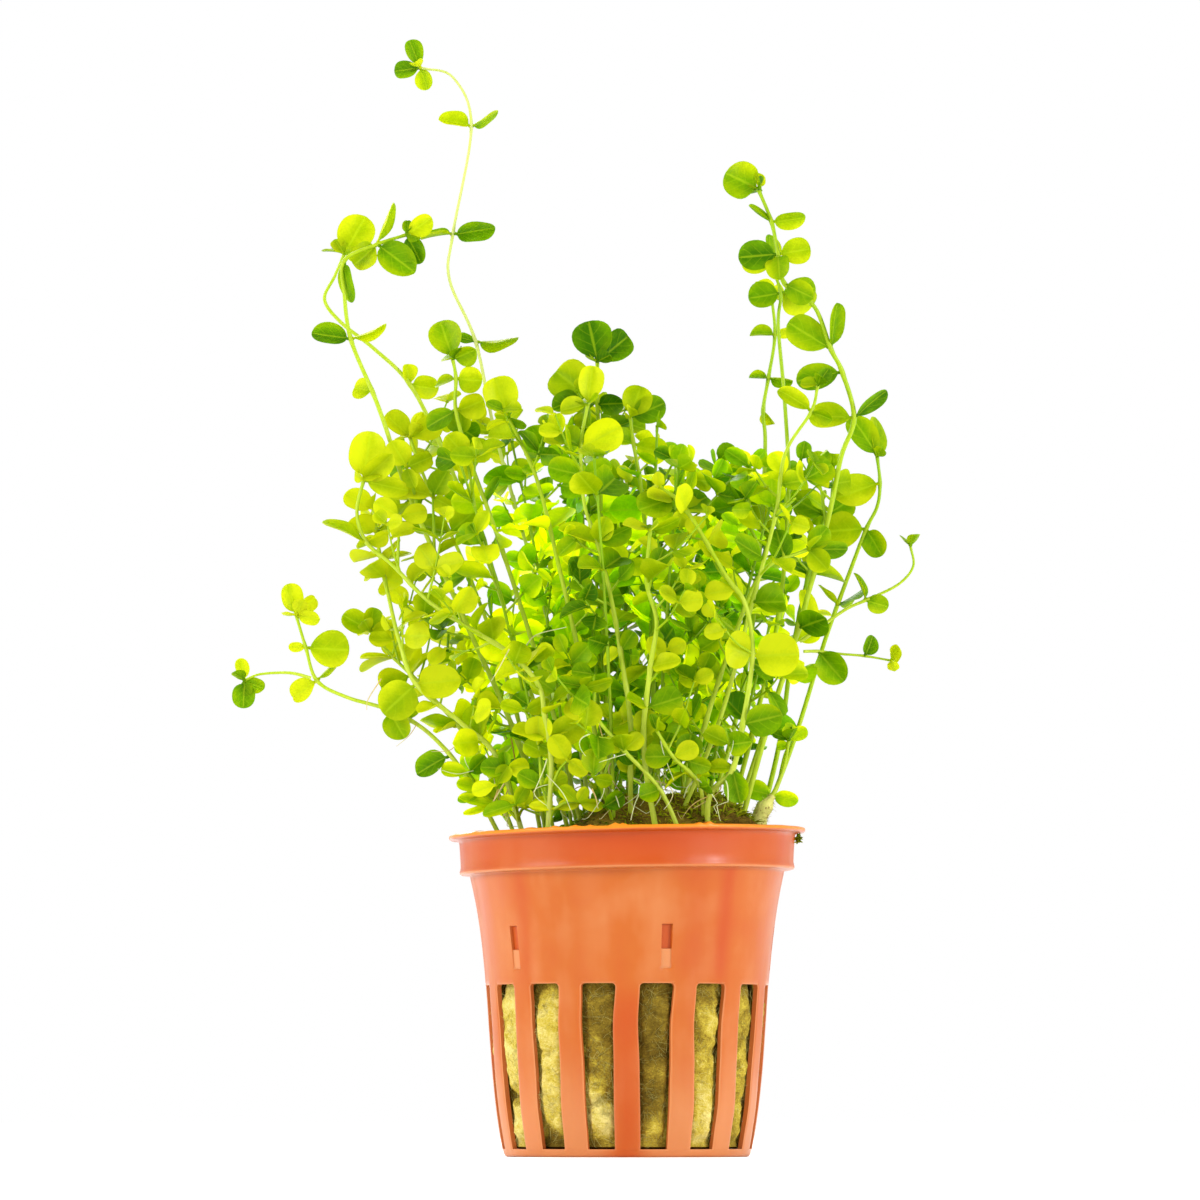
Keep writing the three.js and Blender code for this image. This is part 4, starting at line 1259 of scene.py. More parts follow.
@dataclass
class WoolPlug:
    """Stone wool plug: lumps pressed against the pot, a bed that dips at the sides and a mound.

    Attributes:
        wardrobe: The finishes.
        pot: The pot that holds it.
        gap: Room between the plug and the pot's wall.
        floor: Height of its underside.
        top: Height of the bed.
        mound_x: Middle of the mound.
        mound_halves: Half widths of the mound along X and Y.
        mound_height: Height of the mound over the bed.
        mound_fade: Half width of the mound's slopes.
        columns: Points round the plug.
        hidden_lumps: Lumps that the front doesn't show.
        lump_spread: Factors on a lump's half width and half height.
        lump_drift: How far noise shifts the lumps, in degrees and in height.
        push: How far a full lump presses into its slot.
    """

    wardrobe: Wardrobe
    pot: NetPot
    gap: float = 0.15
    floor: float = 1.25
    top: float = 48.6
    mound_x: float = 5.5
    mound_halves: tuple[float, float] = (11.5, 15.0)
    mound_height: float = 5.6
    mound_fade: float = 5.0
    columns: int = 360
    hidden_lumps: int = 60
    lump_spread: tuple[float, float] = (1.5, 1.18)
    lump_drift: tuple[float, float] = (8.0, 2.2)
    push: float = 0.85

    def bed(self, x: Array, y: Array) -> Array:
        """Height of the plug's top: the bed, plus the mound faded by a smooth step on each axis.

        Args:
            x: Places across.
            y: Places in depth.

        Returns:
            Height at each place.
        """
        half_x, half_y = self.mound_halves
        fade = self.mound_fade
        across = 1 - smooth(half_x - fade, half_x + fade, np.abs(x - self.mound_x))
        deep = 1 - smooth(half_y - fade, half_y + fade, np.abs(y))
        return self.top + self.mound_height * across * deep

    def build(self) -> None:
        """Builds the plug: rings of points from the middle of its underside to the middle of its top.

        Each ring's radius is the pot's inner radius less a gap and less noise, and grows where a
        lump presses into a slot.
        """
        low = np.array([4.0, 8.0, 12.0, 15.0, 16.6])
        heights = np.arange(self.floor + 0.3, 47.4, 0.42)
        cap = np.concatenate([[22.6, 21.9], np.arange(21.0, 0.5, -0.6)])
        side = self.pot.radius(np.minimum(heights, 42)) - self.pot.wall - self.gap
        side = side + 0.9 * smooth(42.5, 44, heights)
        radii = np.concatenate([low, side, cap])
        levels = np.concatenate([np.full(len(low), self.floor), heights, np.full(len(cap), self.top)])
        angles = np.arange(self.columns) * 2 * math.pi / self.columns
        spread = radii[:, None] * np.ones_like(angles)
        height = levels[:, None] * np.ones_like(angles)
        flat = on_circle(spread, angles, height).reshape(-1, 3)
        clod = fractal(flat, 1.7, 23.0, 3).reshape(height.shape)
        fluff = fractal(flat, 0.8, 31.0, 2).reshape(height.shape)
        on_side = np.concatenate([np.zeros(len(low)), np.ones(len(side)), np.zeros(len(cap))])[:, None]
        relief, stain = self.lumps(np.degrees(angles)[None] + 0 * height, height)
        relief = np.clip(relief + 0.24 * clod, 0, 1)
        inward = on_side * (self.sink(relief) + 0.5 * (0.5 - 0.5 * fluff))
        inward = inward * smooth(self.floor, 3.0, height)
        spread = spread - inward + on_side * self.push * self.slot_window(angles, height) * relief
        points = on_circle(spread, angles, height)
        on_top = np.concatenate([np.zeros(len(low) + len(side)), np.ones(len(cap))])[:, None]
        bed = self.bed(points[..., 0], points[..., 1]) - self.top
        points[..., 2] += on_top * (bed + 0.5 * clod + 0.3 * fluff - 0.1)
        points[..., 2] += self.pot.lean * points[..., 0] * smooth(27, 50, points[..., 2])
        skin = Skin()
        start = skin.place(points)
        rings = len(points)
        faces = ring_faces(rings, self.columns)
        # The lift share paints shade: the wool comes out darker where the side sinks between lumps and in
        # the top's hollows. The end fans get a low lift too.
        lift = np.clip(relief * on_side + (1 - on_side) * (0.55 + 0.3 * clod), 0, 1)
        stain = on_side * stain + (1 - on_side) * 0.7
        tint = joined(lift, stain)
        for axis in (0, 1, 0, 1):
            tint = (2 * tint + np.roll(tint, 2, axis) + np.roll(tint, -2, axis)) / 4
        tint = tint.reshape(-1, 2)
        skin.cover(faces + start, np.zeros(2), tint[faces])
        ring = np.arange(self.columns)
        beside = (ring + 1) % self.columns
        foot = skin.place(np.array([[0.0, 0.0, self.floor]]))
        crown = skin.place(points[-1].mean(axis=0, keepdims=True))
        lower = joined(beside, ring, foot - start)
        base = (rings - 1) * self.columns
        upper = joined(base + ring, base + beside, crown - start)
        skin.cover(lower + start, np.zeros(2), np.array([0.3, 0.4]))
        skin.cover(upper + start, np.zeros(2), np.array([0.3, 0.6]))
        self.wardrobe.hand_over(skin, "stone_wool", "stone_wool", Finish.WOOL, nodes=("wool_plug",))

    def slot_window(self, angles: Array, height: Array) -> Array:
        """How far inside a slot each point lies: 1 well inside and 0 at the ribs.

        Args:
            angles: Angles of the columns.
            height: Heights of the points.

        Returns:
            The share at each point.
        """
        sector = 2 * math.pi / self.pot.slots
        off = wrapped(angles - math.radians(self.pot.first_slot), sector)
        ends = (self.pot.slot_bottom, self.pot.slot_top)
        reach = np.interp(height, ends, np.array(self.pot.slot_widths) / 2)
        inside = 1 - smooth(0.7, 1.0, np.abs(off)[None] * 20 / reach)
        return inside * smooth(self.pot.slot_bottom + 0.6, 4, height) * (1 - smooth(23, 25.2, height))

    def lumps(self, azimuth: Array, height: Array) -> tuple[Array, Array]:
        """Height and stain of the lumps: each place belongs to the lump that stands out most there.

        A lump's height is the root of (1 - d cubed), with d its distance as a share of its half size.
        Both coordinates are shifted by noise first, so that no lump is a true oval.

        Args:
            azimuth: Azimuths in degrees.
            height: Heights.

        Returns:
            Height from 0 to 1, and stain from 0 to 1, at each place.
        """
        turn = np.radians(azimuth)
        places = joined(21 * np.sin(turn), 21 * np.cos(turn), height).reshape(-1, 3)
        shift = [fractal(places, 3.6, seed, 3).reshape(height.shape) for seed in (3.0, 71.0)]
        azimuth = azimuth + self.lump_drift[0] * shift[0]
        height = height + self.lump_drift[1] * shift[1]
        order = np.arange(self.hidden_lumps)
        draws = [scatter(order, float(key)) for key in range(1, 6)]
        hidden = zip(72 + 216 * (order + 0.5) / len(order), 2 + 24 * draws[0], 9 + 4 * draws[1],
                     3.4 + 2.6 * draws[2], 0.7 + 0.3 * draws[3], 0.7 * draws[4])
        wider, higher = self.lump_spread
        relief, stain = np.full(height.shape, 0.12), np.full(height.shape, 0.7)
        for middle, level, half_turn, half_height, lift, dark in (*WOOL_LUMPS, *hidden):
            off = wrapped(azimuth - middle, 360)
            gap = np.hypot(off / (half_turn * wider), (height - level) / (half_height * higher))
            own = lift * np.sqrt(np.clip(1 - gap**3, 0, 1))
            stain = np.where(own > relief, dark, stain)
            relief = np.maximum(relief, own)
        return relief, stain

    @staticmethod
    def sink(relief: Array) -> Array:
        """How far the surface lies inside the pot's inner face, for a lump height from 0 to 1."""
        return 1.3 * (1 - relief) ** 1.2


def thread_paths(roots: Array, ways: Array, lengths: Array, sag: Array, steps: int) -> Array:
    """Paths of thin threads: each goes straight from its root, plus a sag that grows as t squared."""
    t = np.linspace(0, 1, steps + 1)[None, :, None]
    return roots[:, None] + ways[:, None] * lengths[:, None, None] * t + sag[:, None] * t**2


@dataclass
class Fuzz:
    """Fine threads on the growing medium: wool fibres and moss.

    Attributes:
        wardrobe: The finishes.
        plug: The plug that carries them.
        rng: Source of the seeded draws.
        fibre_taper: Radius at each station of a wool fibre, as a share of its largest.
    """

    wardrobe: Wardrobe
    plug: WoolPlug
    rng: np.random.Generator
    fibre_taper: tuple[float, ...] = (1.0, 0.95, 0.85, 0.7, 0.3)

    def side_roots(self, count: int) -> tuple[Array, Array, Array]:
        """Places on the plug's side that the slots leave open.

        Args:
            count: How many places are wanted.

        Returns:
            The places, the outward direction at each, and how light the wool is there: darker where it is
            stained, and darker as painted shade where it sinks between lumps.
        """
        pot = self.plug.pot
        slot = self.rng.integers(0, pot.slots, count)
        off = self.rng.uniform(-2.2, 2.2, count) / 20
        angle = math.radians(pot.first_slot) + slot * 2 * math.pi / pot.slots + off
        height = self.rng.uniform(2.2, 24.8, count)
        relief, stain = self.plug.lumps(np.degrees(angle), height)
        radius = pot.radius(height) - pot.wall - self.plug.gap - self.plug.sink(relief)
        outward = on_circle(1.0, angle, 0.0)
        roots = outward * (radius + 0.45 * relief)[:, None]
        roots[:, 2] = height
        return roots, outward, relief * (1 - 0.8 * stain)

    def fibres(self, count: int = 4000) -> None:
        """Builds the wool fibres that stand off the plug in its slots.

        Args:
            count: How many fibres there are beside the tuft.
        """
        rng = self.rng
        roots, outward, light = self.side_roots(count)
        across = np.cross(UP, outward)
        lie = rng.uniform(0, 2 * math.pi, count)[:, None]
        lift = rng.uniform(-0.1, 0.25, (count, 1))
        ways = unit(across * np.cos(lie) + UP * np.sin(lie) + outward * lift)
        lengths = rng.uniform(0.8, 2.4, count)
        sag = outward * rng.uniform(-0.6, 0.0, (count, 1)) + rng.normal(0, 0.35, (count, 3))
        paths = thread_paths(roots, ways, lengths, sag, 4)
        skin = Skin()
        radii = rng.uniform(0.018, 0.036, (count, 1)) * self.fibre_taper
        # Fibres follow the wool's lightness, painted shade between the lumps included.
        tone = 0.1 + 0.75 * light + rng.uniform(-0.12, 0.2, count)
        add_tubes(skin, tube_points(self.inside_pot(paths), radii, 3), tone[:, None])
        self.tuft(skin)
        self.wardrobe.hand_over(skin, "wool_fibres", "stone_wool", Finish.FIBRE)

    def inside_pot(self, paths: Array) -> Array:
        """Keeps threads no further out than the pot's outer face.

        Args:
            paths: Points of the threads.

        Returns:
            The same points, drawn in where they stood out.
        """
        reach = np.linalg.norm(paths[..., :2], axis=-1)
        limit = self.plug.pot.radius(np.clip(paths[..., 2], 0, 42)) - 0.15
        share = np.minimum(1, limit / np.maximum(reach, 0.1))
        inside = paths * joined(share, share, 1.0)
        inside[..., 2] = np.maximum(inside[..., 2], self.plug.floor + 0.2)
        return inside

    def tuft(self, skin: Skin, count: int = 60) -> None:
        """Adds the torn tuft in the front left slot: long pale fibres that fan downwards.

        Args:
            skin: Where they go.
            count: How many fibres it has.
        """
        rng = self.rng
        azimuth = np.radians(rng.uniform(-18, -8, count))
        height = rng.uniform(6.5, 10.5, count)
        roots = on_circle(self.plug.pot.radius(height) - 1.1, azimuth, height)
        ways = unit(joined(rng.normal(0.25, 0.35, count), rng.uniform(-0.5, -0.1, count),
                            rng.uniform(-1.0, 0.1, count)))
        paths = thread_paths(roots, ways, rng.uniform(1.2, 2.8, count), rng.normal(0, 0.4, (count, 3)), 4)
        radii = rng.uniform(0.02, 0.04, (count, 1)) * self.fibre_taper
        add_tubes(skin, tube_points(self.inside_pot(paths), radii, 3), rng.uniform(0.6, 1.1, (count, 1)))

    def moss(self, count: int = 8800) -> None:
        """Builds the moss on the bed: short leaning blades, thick on the mound and thin beside it.

        Args:
            count: How many places are tried.
        """
        rng = self.rng
        turn = rng.uniform(0, 2 * math.pi, count)
        radius = 22.0 * np.sqrt(rng.uniform(0, 1, count))
        x, y = radius * np.cos(turn), radius * np.sin(turn)
        lift = self.plug.bed(x, y) - self.plug.top
        keep = rng.uniform(0, 1, count) < 0.25 + 0.75 * smooth(0.3, 3.0, lift)
        x, y, lift = x[keep], y[keep], lift[keep]
        number = len(x)
        z = self.plug.top + lift + self.plug.pot.lean * x - 0.3
        ways = unit(joined(rng.normal(0, 0.7, number), rng.normal(0, 0.7, number),
                            rng.uniform(0.25, 1.0, number)))
        right = 0.5 * smooth(6, 12, x)
        lengths = rng.uniform(0.6, 1.3, number) * (1 + right)
        sag = joined(rng.normal(0, 0.3, number), rng.normal(0, 0.3, number), -0.3 * lengths)
        paths = thread_paths(joined(x, y, z), ways, lengths, sag, 3)
        radii = (1 + right)[:, None] * rng.uniform(0.06, 0.13, (number, 1))
        radii = radii * np.array([0.7, 1.0, 0.75, 0.12])
        tone = 0.1 + 0.8 * smooth(-4, 3, x) * (1 - right) * rng.uniform(0.3, 1.2, number)
        skin = Skin()
        add_tubes(skin, tube_points(paths, radii, 3), tone[:, None])
        self.wardrobe.hand_over(skin, "bed_moss", "moss", Finish.MOSS)

    def scrap(self, count: int = 90) -> None:
        """Builds the dark scrap of moss that hangs under the rim at the right, a knot of short blades.

        Args:
            count: How many blades it has.
        """
        rng = self.rng
        low, high = (np.array(corner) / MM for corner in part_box("moss_scrap"))
        middle, half = (low + high) / 2, (high - low) / 2
        spots = unit(rng.normal(0, 1, (count, 3))) * rng.uniform(0.1, 0.75, (count, 1))
        ways = unit(rng.normal(0, 1, (count, 3)) + [0.2, 0, -0.5])
        lengths = rng.uniform(0.3, 0.8, count)
        sag = rng.normal(0, 0.1, (count, 3))
        middle = middle + [-0.45, 0, 0.45]
        paths = thread_paths(middle + spots * half, ways, lengths, sag, 3)
        radii = rng.uniform(0.09, 0.2, (count, 1)) * np.array([0.7, 1.0, 0.8, 0.15])
        skin = Skin()
        add_tubes(skin, tube_points(paths, radii, 4), rng.uniform(0.0, 0.4, (count, 1)))
        self.wardrobe.hand_over(skin, "rim_moss", "moss", Finish.MOSS, nodes=("moss_scrap",))


# Foliage

@dataclass(frozen=True)
class Plan:
    """One shoot as read off the front view.

    Attributes:
        name: Name of the shoot.
        radius: Radius of its stem.
        route: Stem's nodes from the plug outwards, each [across, depth, height].
        leaves: Leaves, each [node, direction in degrees, length, width, turn, tilt].
        pairs: Nodes that carry an ordinary opposite pair half way to the next node.
        tone: How light its leaves are, from 0 to 1.
        branch: Whether it grows from another shoot.
        thick_base: Radius of the old stub that it grows from.
        stem_tone: How pale its stem is at the foot.
        slim: Radius of the finished stem, as a share of the solid one.
    """

    name: str
    radius: float
    route: tuple
    leaves: tuple = ()
    pairs: tuple = (2,)
    tone: float = 0.5
    branch: bool = False
    thick_base: float = 0.0
    stem_tone: float = 0.74
    slim: float = 0.84


# Shoots that can be told apart from the front
TRACED = (
    Plan(name="tall_left", radius=0.42, tone=0.5, stem_tone=1.35, slim=0.66,
         route=((-5, 4, 48), (-8, 6, 66), (-14, 8, 88), (-20, 10, 109.5), (-23, 11, 123.5),
                (-27, 11, 133), (-26.5, 11, 140), (-23.7, 10, 156.5), (-26.5, 9, 164), (-31.5, 8, 165.5)),
         leaves=((4, -3, 6.7, 3.6, 70, 10), (4, 165, 3, 2.2, 40, 10), (6, 7, 6.6, 4.6, 52, 0),
                 (6, 177, 4.9, 3, 75, 0), (7, 166, 5.2, 3.6, 35, 0), (7, 22, 5, 3, 70, 15),
                 (9, 112, 4.6, 3.1, 15, 0), (9, 186, 4.2, 3, 5, 20), (9, -72, 3.6, 3, 25, 0))),
    Plan(name="left_bow", radius=0.45, tone=0.45,
         route=((-11, -3, 46), (-17, -4, 64), (-25, -5, 82), (-33, -5, 100), (-37, -5, 111.5),
                (-38.7, -5, 116), (-42, -5, 124), (-43, -5, 131), (-43, -5, 136), (-38, -5, 138.5),
                (-33.5, -5, 140)),
         leaves=((5, 165, 3.4, 4, 10, 25), (6, 172, 6, 4, 30, 0), (6, 15, 5.8, 3, 72, 0),
                 (8, -86, 6.4, 3.5, 50, 0), (9, 72, 6.8, 3, 72, 0), (9, -38, 7.4, 5.6, 0, -15),
                 (9, 222, 5, 4, 20, 30), (10, 32, 4.6, 3.6, 20, 0), (10, -62, 5, 3.8, 15, 0))),
    Plan(name="left_loop", radius=0.42, tone=0.6,
         route=((-8, 9, 46), (-14, 9, 68), (-21, 8, 90), (-28, 7, 107), (-33, 6, 117),
                (-38.5, 4.5, 122.5), (-43.5, 3.5, 126.5), (-46, 3, 130), (-44.5, 3, 133.5),
                (-43, 2.6, 137)),
         leaves=((4, -8, 4.8, 4, 10, 20), (4, 100, 3.2, 2.6, 30, 0), (9, 62, 7, 6, 0, 10),
                 (9, 150, 4, 3, 60, 30))),
    Plan(name="left_crown", radius=0.42, tone=0.4,
         route=((-6, -5, 46), (-12, -7, 70), (-19, -8, 92), (-24, -8, 106), (-26, -7.5, 113),
                (-26, -7, 118), (-26.5, -7, 121)),
         leaves=((5, -5, 4, 3.8, 10, 0), (5, 190, 3.6, 3, 50, 20), (6, 108, 6.2, 5.4, 0, 0),
                 (6, 20, 4, 3.6, 35, -20), (4, 20, 4.6, 4, 20, 0), (4, 205, 5, 4, 15, 0))),
    Plan(name="left_fork", radius=0.4, tone=0.62,
         route=((-12.5, 6, 46), (-17, 3, 68), (-24, 0.5, 88), (-30, 0, 101), (-33, 0.5, 109)),
         leaves=((4, 140, 5, 4.2, 25, 0), (4, 25, 5.4, 4.6, 20, -10), (3, 170, 6.5, 5, 20, 0))),
    Plan(name="round_left", radius=0.42, tone=0.45,
         route=((-2, -9, 48), (-6, -10, 70), (-10, -11, 88), (-13.5, -10, 102), (-16.5, -9, 109),
                (-18, -9, 112)),
         leaves=((5, 108, 6.4, 5.6, 0, 0), (5, -20, 3, 2.4, 50, 0))),
    Plan(name="long_sweep", radius=0.45, tone=0.82,
         route=((-12, -16, 46.5), (-11.5, -18, 59.5), (-12.5, -18.5, 67), (-13.5, -18, 71.5),
                (-17.5, -17, 76), (-23, -16, 79.5), (-30, -13, 84), (-35.5, -10, 89.5), (-39.5, -9, 93),
                (-41, -8, 97.5), (-40, -7, 102.5)),
         leaves=((10, 82, 7.6, 6, 0, 0), (10, -16, 7, 3.8, 20, -10), (8, 150, 7.4, 3.6, 60, 0),
                 (8, 20, 4, 3, 30, 20), (10, 40, 6.8, 4.2, 20, -30)),
         pairs=(1, 3, 5, 7)),
    Plan(name="left_rise", radius=0.45, tone=0.86,
         route=((-15, -11, 46), (-19.5, -12, 60), (-25, -13, 65.5), (-32, -12.5, 71.5), (-34.5, -10, 78),
                (-36, -6, 84), (-37.5, -2, 91), (-38.5, 1, 98)),
         leaves=((3, 5, 6.8, 6, 0, -10), (3, 222, 6.6, 6.2, 0, 0), (7, 150, 5, 4.2, 30, 0),
                 (7, 60, 6, 4.4, 20, 0)),
         pairs=(1, 5, 6)),
    Plan(name="low_reach", radius=0.4, tone=0.6,
         route=((-18, -6, 46), (-24, -8, 57), (-30, -9, 64), (-36, -10, 67.5), (-42.5, -10, 69.5),
                (-47, -9, 72), (-48.7, -8, 77), (-50.2, -7, 82)),
         leaves=((3, -62, 4.8, 4.6, 10, 0), (5, 215, 5, 4.2, 20, 32), (5, 47, 6.2, 3, 75, 20),
                 (6, -4, 6.6, 6, 0, 0), (6, 178, 2.6, 1.8, 20, 0), (7, 104, 4.8, 3.5, 10, 0),
                 (7, 42, 4.2, 2.8, 20, 20), (7, -12, 4, 2.6, 25, -20)),
         pairs=(1, 2)),
    Plan(name="left_runner", radius=0.3, branch=True, tone=0.42,
         route=((-47.9, -9.6, 72.4), (-50.5, -9.8, 73.1), (-53, -10, 73.2), (-56, -10, 72.9),
                (-58, -10, 72)),
         leaves=((4, 98, 3.5, 2.4, 10, 0), (4, -92, 4.2, 3.3, 0, 0), (4, -24, 3.6, 2.6, 15, 20)),
         pairs=()),
    Plan(name="left_low", radius=0.38, tone=0.7,
         route=((-16, 2, 46), (-22, 2.5, 60), (-30, 3, 70), (-35.5, 3.5, 75.5), (-39, 4, 79.5)),
         leaves=((3, 184, 5, 3, 70, 0), (4, 150, 4.8, 3.9, 10, 0), (4, 82, 3.6, 3.4, 20, 0),
                 (4, 10, 4.4, 3.6, 30, 20), (3, 30, 4.2, 3.4, 40, -20)),
         pairs=(1, 2)),
    Plan(name="right_stalk", radius=0.42, tone=0.6, stem_tone=0.5,
         route=((11, 4, 47), (16, 7, 64), (19, 9, 80), (20.5, 10, 96.5), (21, 11, 108), (20.7, 11, 113),
                (21.5, 11, 118), (22.5, 10, 124.5), (22, 9, 130.5)),
         leaves=((6, 176, 3, 2.6, 60, 0), (6, -6, 3.8, 3, 60, 0), (7, 168, 3.8, 3, 50, 0),
                 (7, 12, 3, 2.6, 50, 0), (8, 130, 3.4, 3, 40, 20), (5, -60, 3, 2.4, 40, 30))),
    Plan(name="right_middle", radius=0.42, tone=0.48, stem_tone=0.5,
         route=((14, -3, 46), (19, -3.5, 64), (23, -3.5, 82), (24.5, -3.5, 100), (24, -3, 114),
                (23, -2.5, 126), (23.4, -2, 131), (22, -1.5, 135)),
         leaves=((6, 190, 5, 4.2, 5, 0), (6, 8, 5.4, 4.6, 10, 0), (6, -22, 7, 4.8, 25, 30),
                 (7, 95, 5, 3.4, 45, 0), (7, 170, 4.6, 3.6, 0, 0))),
    Plan(name="right_arch", radius=0.48, tone=0.4, stem_tone=0.58,
         route=((16, -9, 46), (21, -10, 64), (26, -10, 80), (30.5, -9, 96.5), (32.5, -9, 106),
                (34.5, -9, 112), (32.7, -10, 119), (31, -11, 122.5), (28.5, -12, 129), (24, -13, 132.5),
                (23, -13, 137), (22, -12, 142), (20, -11, 147)),
         leaves=((5, 176, 6.8, 4.7, 15, 0), (5, 44, 6.4, 3.4, 50, 0), (6, 190, 7, 4.9, 5, 0),
                 (7, 148, 7.6, 5.9, 0, 0), (7, 86, 7, 3.6, 40, 0), (9, -30, 5, 4, 20, -20),
                 (10, 184, 6, 5.2, 5, 0), (10, 10, 5, 4.8, 5, 0), (10, -88, 4.6, 4.2, 20, -30),
                 (11, 4, 5.2, 3.4, 30, 0), (11, 150, 4.2, 2.4, 75, 0), (12, 152, 5.6, 5.4, 0, 0),
                 (12, 84, 3, 2.2, 30, 20))),
    Plan(name="right_front", radius=0.4, tone=0.5,
         route=((6.5, -12.5, 47.5), (14, -16, 66), (19, -17, 84), (22.5, -16, 97), (24, -15, 106.5),
                (28, -13, 113), (29, -12, 117)),
         leaves=((5, 140, 6, 3.8, 25, 0), (5, -20, 3.4, 2.8, 40, 0), (6, 60, 3, 2.4, 30, 0),
                 (6, 170, 2.6, 2, 30, 0))),
    Plan(name="right_hook", radius=0.42, tone=0.5, stem_tone=0.5,
         route=((18.5, 3, 45.5), (25, 4, 62), (30, 5, 78), (34, 4, 89), (36.3, 3.5, 95), (38, 3, 98.5),
                (38.4, 3, 102), (38, 3, 106)),
         leaves=((4, 182, 6, 6, 5, 0), (4, -58, 4.8, 4, 20, 0), (7, 118, 7.4, 4.4, 15, 0),
                 (7, 84, 8, 3.4, 40, 30), (6, 200, 7.6, 5.8, 10, -15))),
    Plan(name="right_inner", radius=0.45, tone=0.5,
         route=((7, -8, 48), (12, -13, 66), (16, -15, 78), (20.5, -14.5, 88.5), (27.5, -12, 92)),
         leaves=((4, 48, 4.4, 4, 15, 0), (4, -46, 4.2, 4, 10, 0), (4, 2, 6.4, 3.8, 35, 20))),
    Plan(name="right_prop", radius=0.48, tone=0.42, stem_tone=0.45,
         route=((19, 8, 45.5), (23, 8, 62), (25, 8, 76), (27.5, 7, 88), (30, 6, 97)),
         leaves=((4, 150, 5.6, 5, 15, 0), (4, 30, 5.2, 4.4, 20, 0))),
    Plan(name="dry_stem", radius=0.45, tone=0.5,
         route=((15, 0.5, 46), (19, -1, 59), (22.5, -2, 69), (25.5, -3, 76.6)),
         pairs=(1, 2)),
    Plan(name="dry_twig", radius=0.32, branch=True, tone=0.42,
         route=((26.2, -3.4, 77.9), (28.5, -4, 79.5), (33, -4, 82.7), (36.2, -4, 84.2), (41, -4, 86.5),
                (43.4, -4, 89.3), (43, -4, 92.5)),
         leaves=((3, 100, 4.4, 2.4, 75, 0), (3, -18, 3.6, 3.1, 10, 0), (1, 108, 6.6, 3.4, 30, 0),
                 (1, -24, 4.8, 4.4, 20, 20)),
         pairs=()),
    Plan(name="dry_twig_low", radius=0.28, branch=True, tone=0.5,
         route=((26.8, -2.4, 76.4), (29, -1.5, 76.4), (32.5, -1, 76), (36, -1, 75.7), (40, -1, 75)),
         leaves=((3, 62, 3.4, 2.8, 20, 0), (1, -50, 6, 4.6, 10, 0)),
         pairs=()),
    Plan(name="front_right", radius=0.5, tone=0.74,
         route=((12, -16.5, 46.5), (12.5, -18, 54.5), (16, -19, 58.7), (17.5, -20, 65.5), (19, -20, 75.8),
                (18, -21, 83.5), (15, -21, 88), (9, -20, 98), (5, -19, 101.5)),
         leaves=((4, 162, 5, 6, 10, -25), (4, 2, 7, 6.2, 0, 0), (3, 12, 6, 5.2, 10, 0),
                 (2, -78, 5.2, 4.2, 10, 0), (2, 170, 3.6, 3, 25, 0)),
         pairs=(6, 7)),
    Plan(name="rim_shoot", radius=0.4, thick_base=1.2, tone=0.6,
         route=((19.8, -7.5, 46.5), (19.9, -7.5, 51), (22, -7.3, 54.6), (23.3, -7, 57.5), (24, -7, 60),
                (24.5, -7, 63)),
         leaves=((2, -14, 4, 2.7, 15, 0), (2, 166, 4.2, 3.7, 10, 0), (5, 32, 3.2, 2.6, 20, 0),
                 (5, 152, 2.6, 2, 30, 0), (5, 84, 2.8, 2.2, 30, 20)),
         pairs=()),
    Plan(name="front_middle", radius=0.5, tone=0.6,
         route=((4.5, -17.5, 47), (2.5, -20, 62), (3.5, -22, 74), (4.5, -22.5, 81), (3, -23, 87),
                (3.5, -23, 95)),
         leaves=((5, 166, 4.2, 3, 55, 0), (5, 8, 4.6, 3, 55, 0)),
         pairs=(1,)),
    Plan(name="front_crown", radius=0.45, tone=0.6,
         route=((0.5, -13, 47.5), (0.5, -17, 58), (0.5, -18, 66), (-1, -18, 76.5), (-2.5, -18, 85),
                (-4.5, -17, 93), (-6.5, -15, 99), (-7, -13, 107.5), (-6, -12, 114)),
         leaves=((5, 160, 6.2, 3.4, 45, 0), (5, 24, 5.6, 3.4, 45, 0), (3, 58, 3.6, 3, 20, 0),
                 (3, 200, 3.4, 3, 40, 20), (7, 28, 6.8, 5, 10, 0), (8, 82, 6, 4.4, 5, 0),
                 (8, 190, 4.4, 3.6, 30, 20)),
         pairs=(1, 2, 6)),
    Plan(name="front_low_left", radius=0.4, tone=0.62,
         route=((8.5, -18.3, 46.5), (5, -20, 55.5), (-0.5, -22, 61.5), (-5, -22, 67), (-6.5, -22, 71)),
         leaves=((4, 166, 4.2, 2.8, 50, 0), (4, 12, 4.4, 2.8, 45, 0), (2, 150, 3.4, 2.6, 15, 0),
                 (2, 42, 3.6, 2.8, 15, 0), (1, 200, 3.6, 3.4, 10, -20)),
         pairs=()),
    Plan(name="front_low_right", radius=0.38, tone=0.6,
         route=((11.5, -13.5, 47), (11, -18.5, 56), (7, -22, 60.5), (4.5, -22.5, 64.5)),
         leaves=((2, 178, 4.2, 3.8, 10, 0), (2, 25, 4, 3.5, 10, 0), (3, 110, 2.6, 2, 30, 0)),
         pairs=()),
    Plan(name="crown_left", radius=0.45, tone=0.42,
         route=((-2, 7, 48), (-3, 9, 70), (-4, 9, 90), (-4, 8, 105), (-4.5, 7, 114), (-4.5, 6, 120.5)),
         leaves=((5, 102, 6.4, 6, 0, 0), (5, 42, 6.8, 5.2, 10, 25), (4, 140, 8.8, 7.6, 0, 15),
                 (4, 0, 4.4, 3.8, 20, -20))),
    Plan(name="crown_right", radius=0.42, tone=0.42,
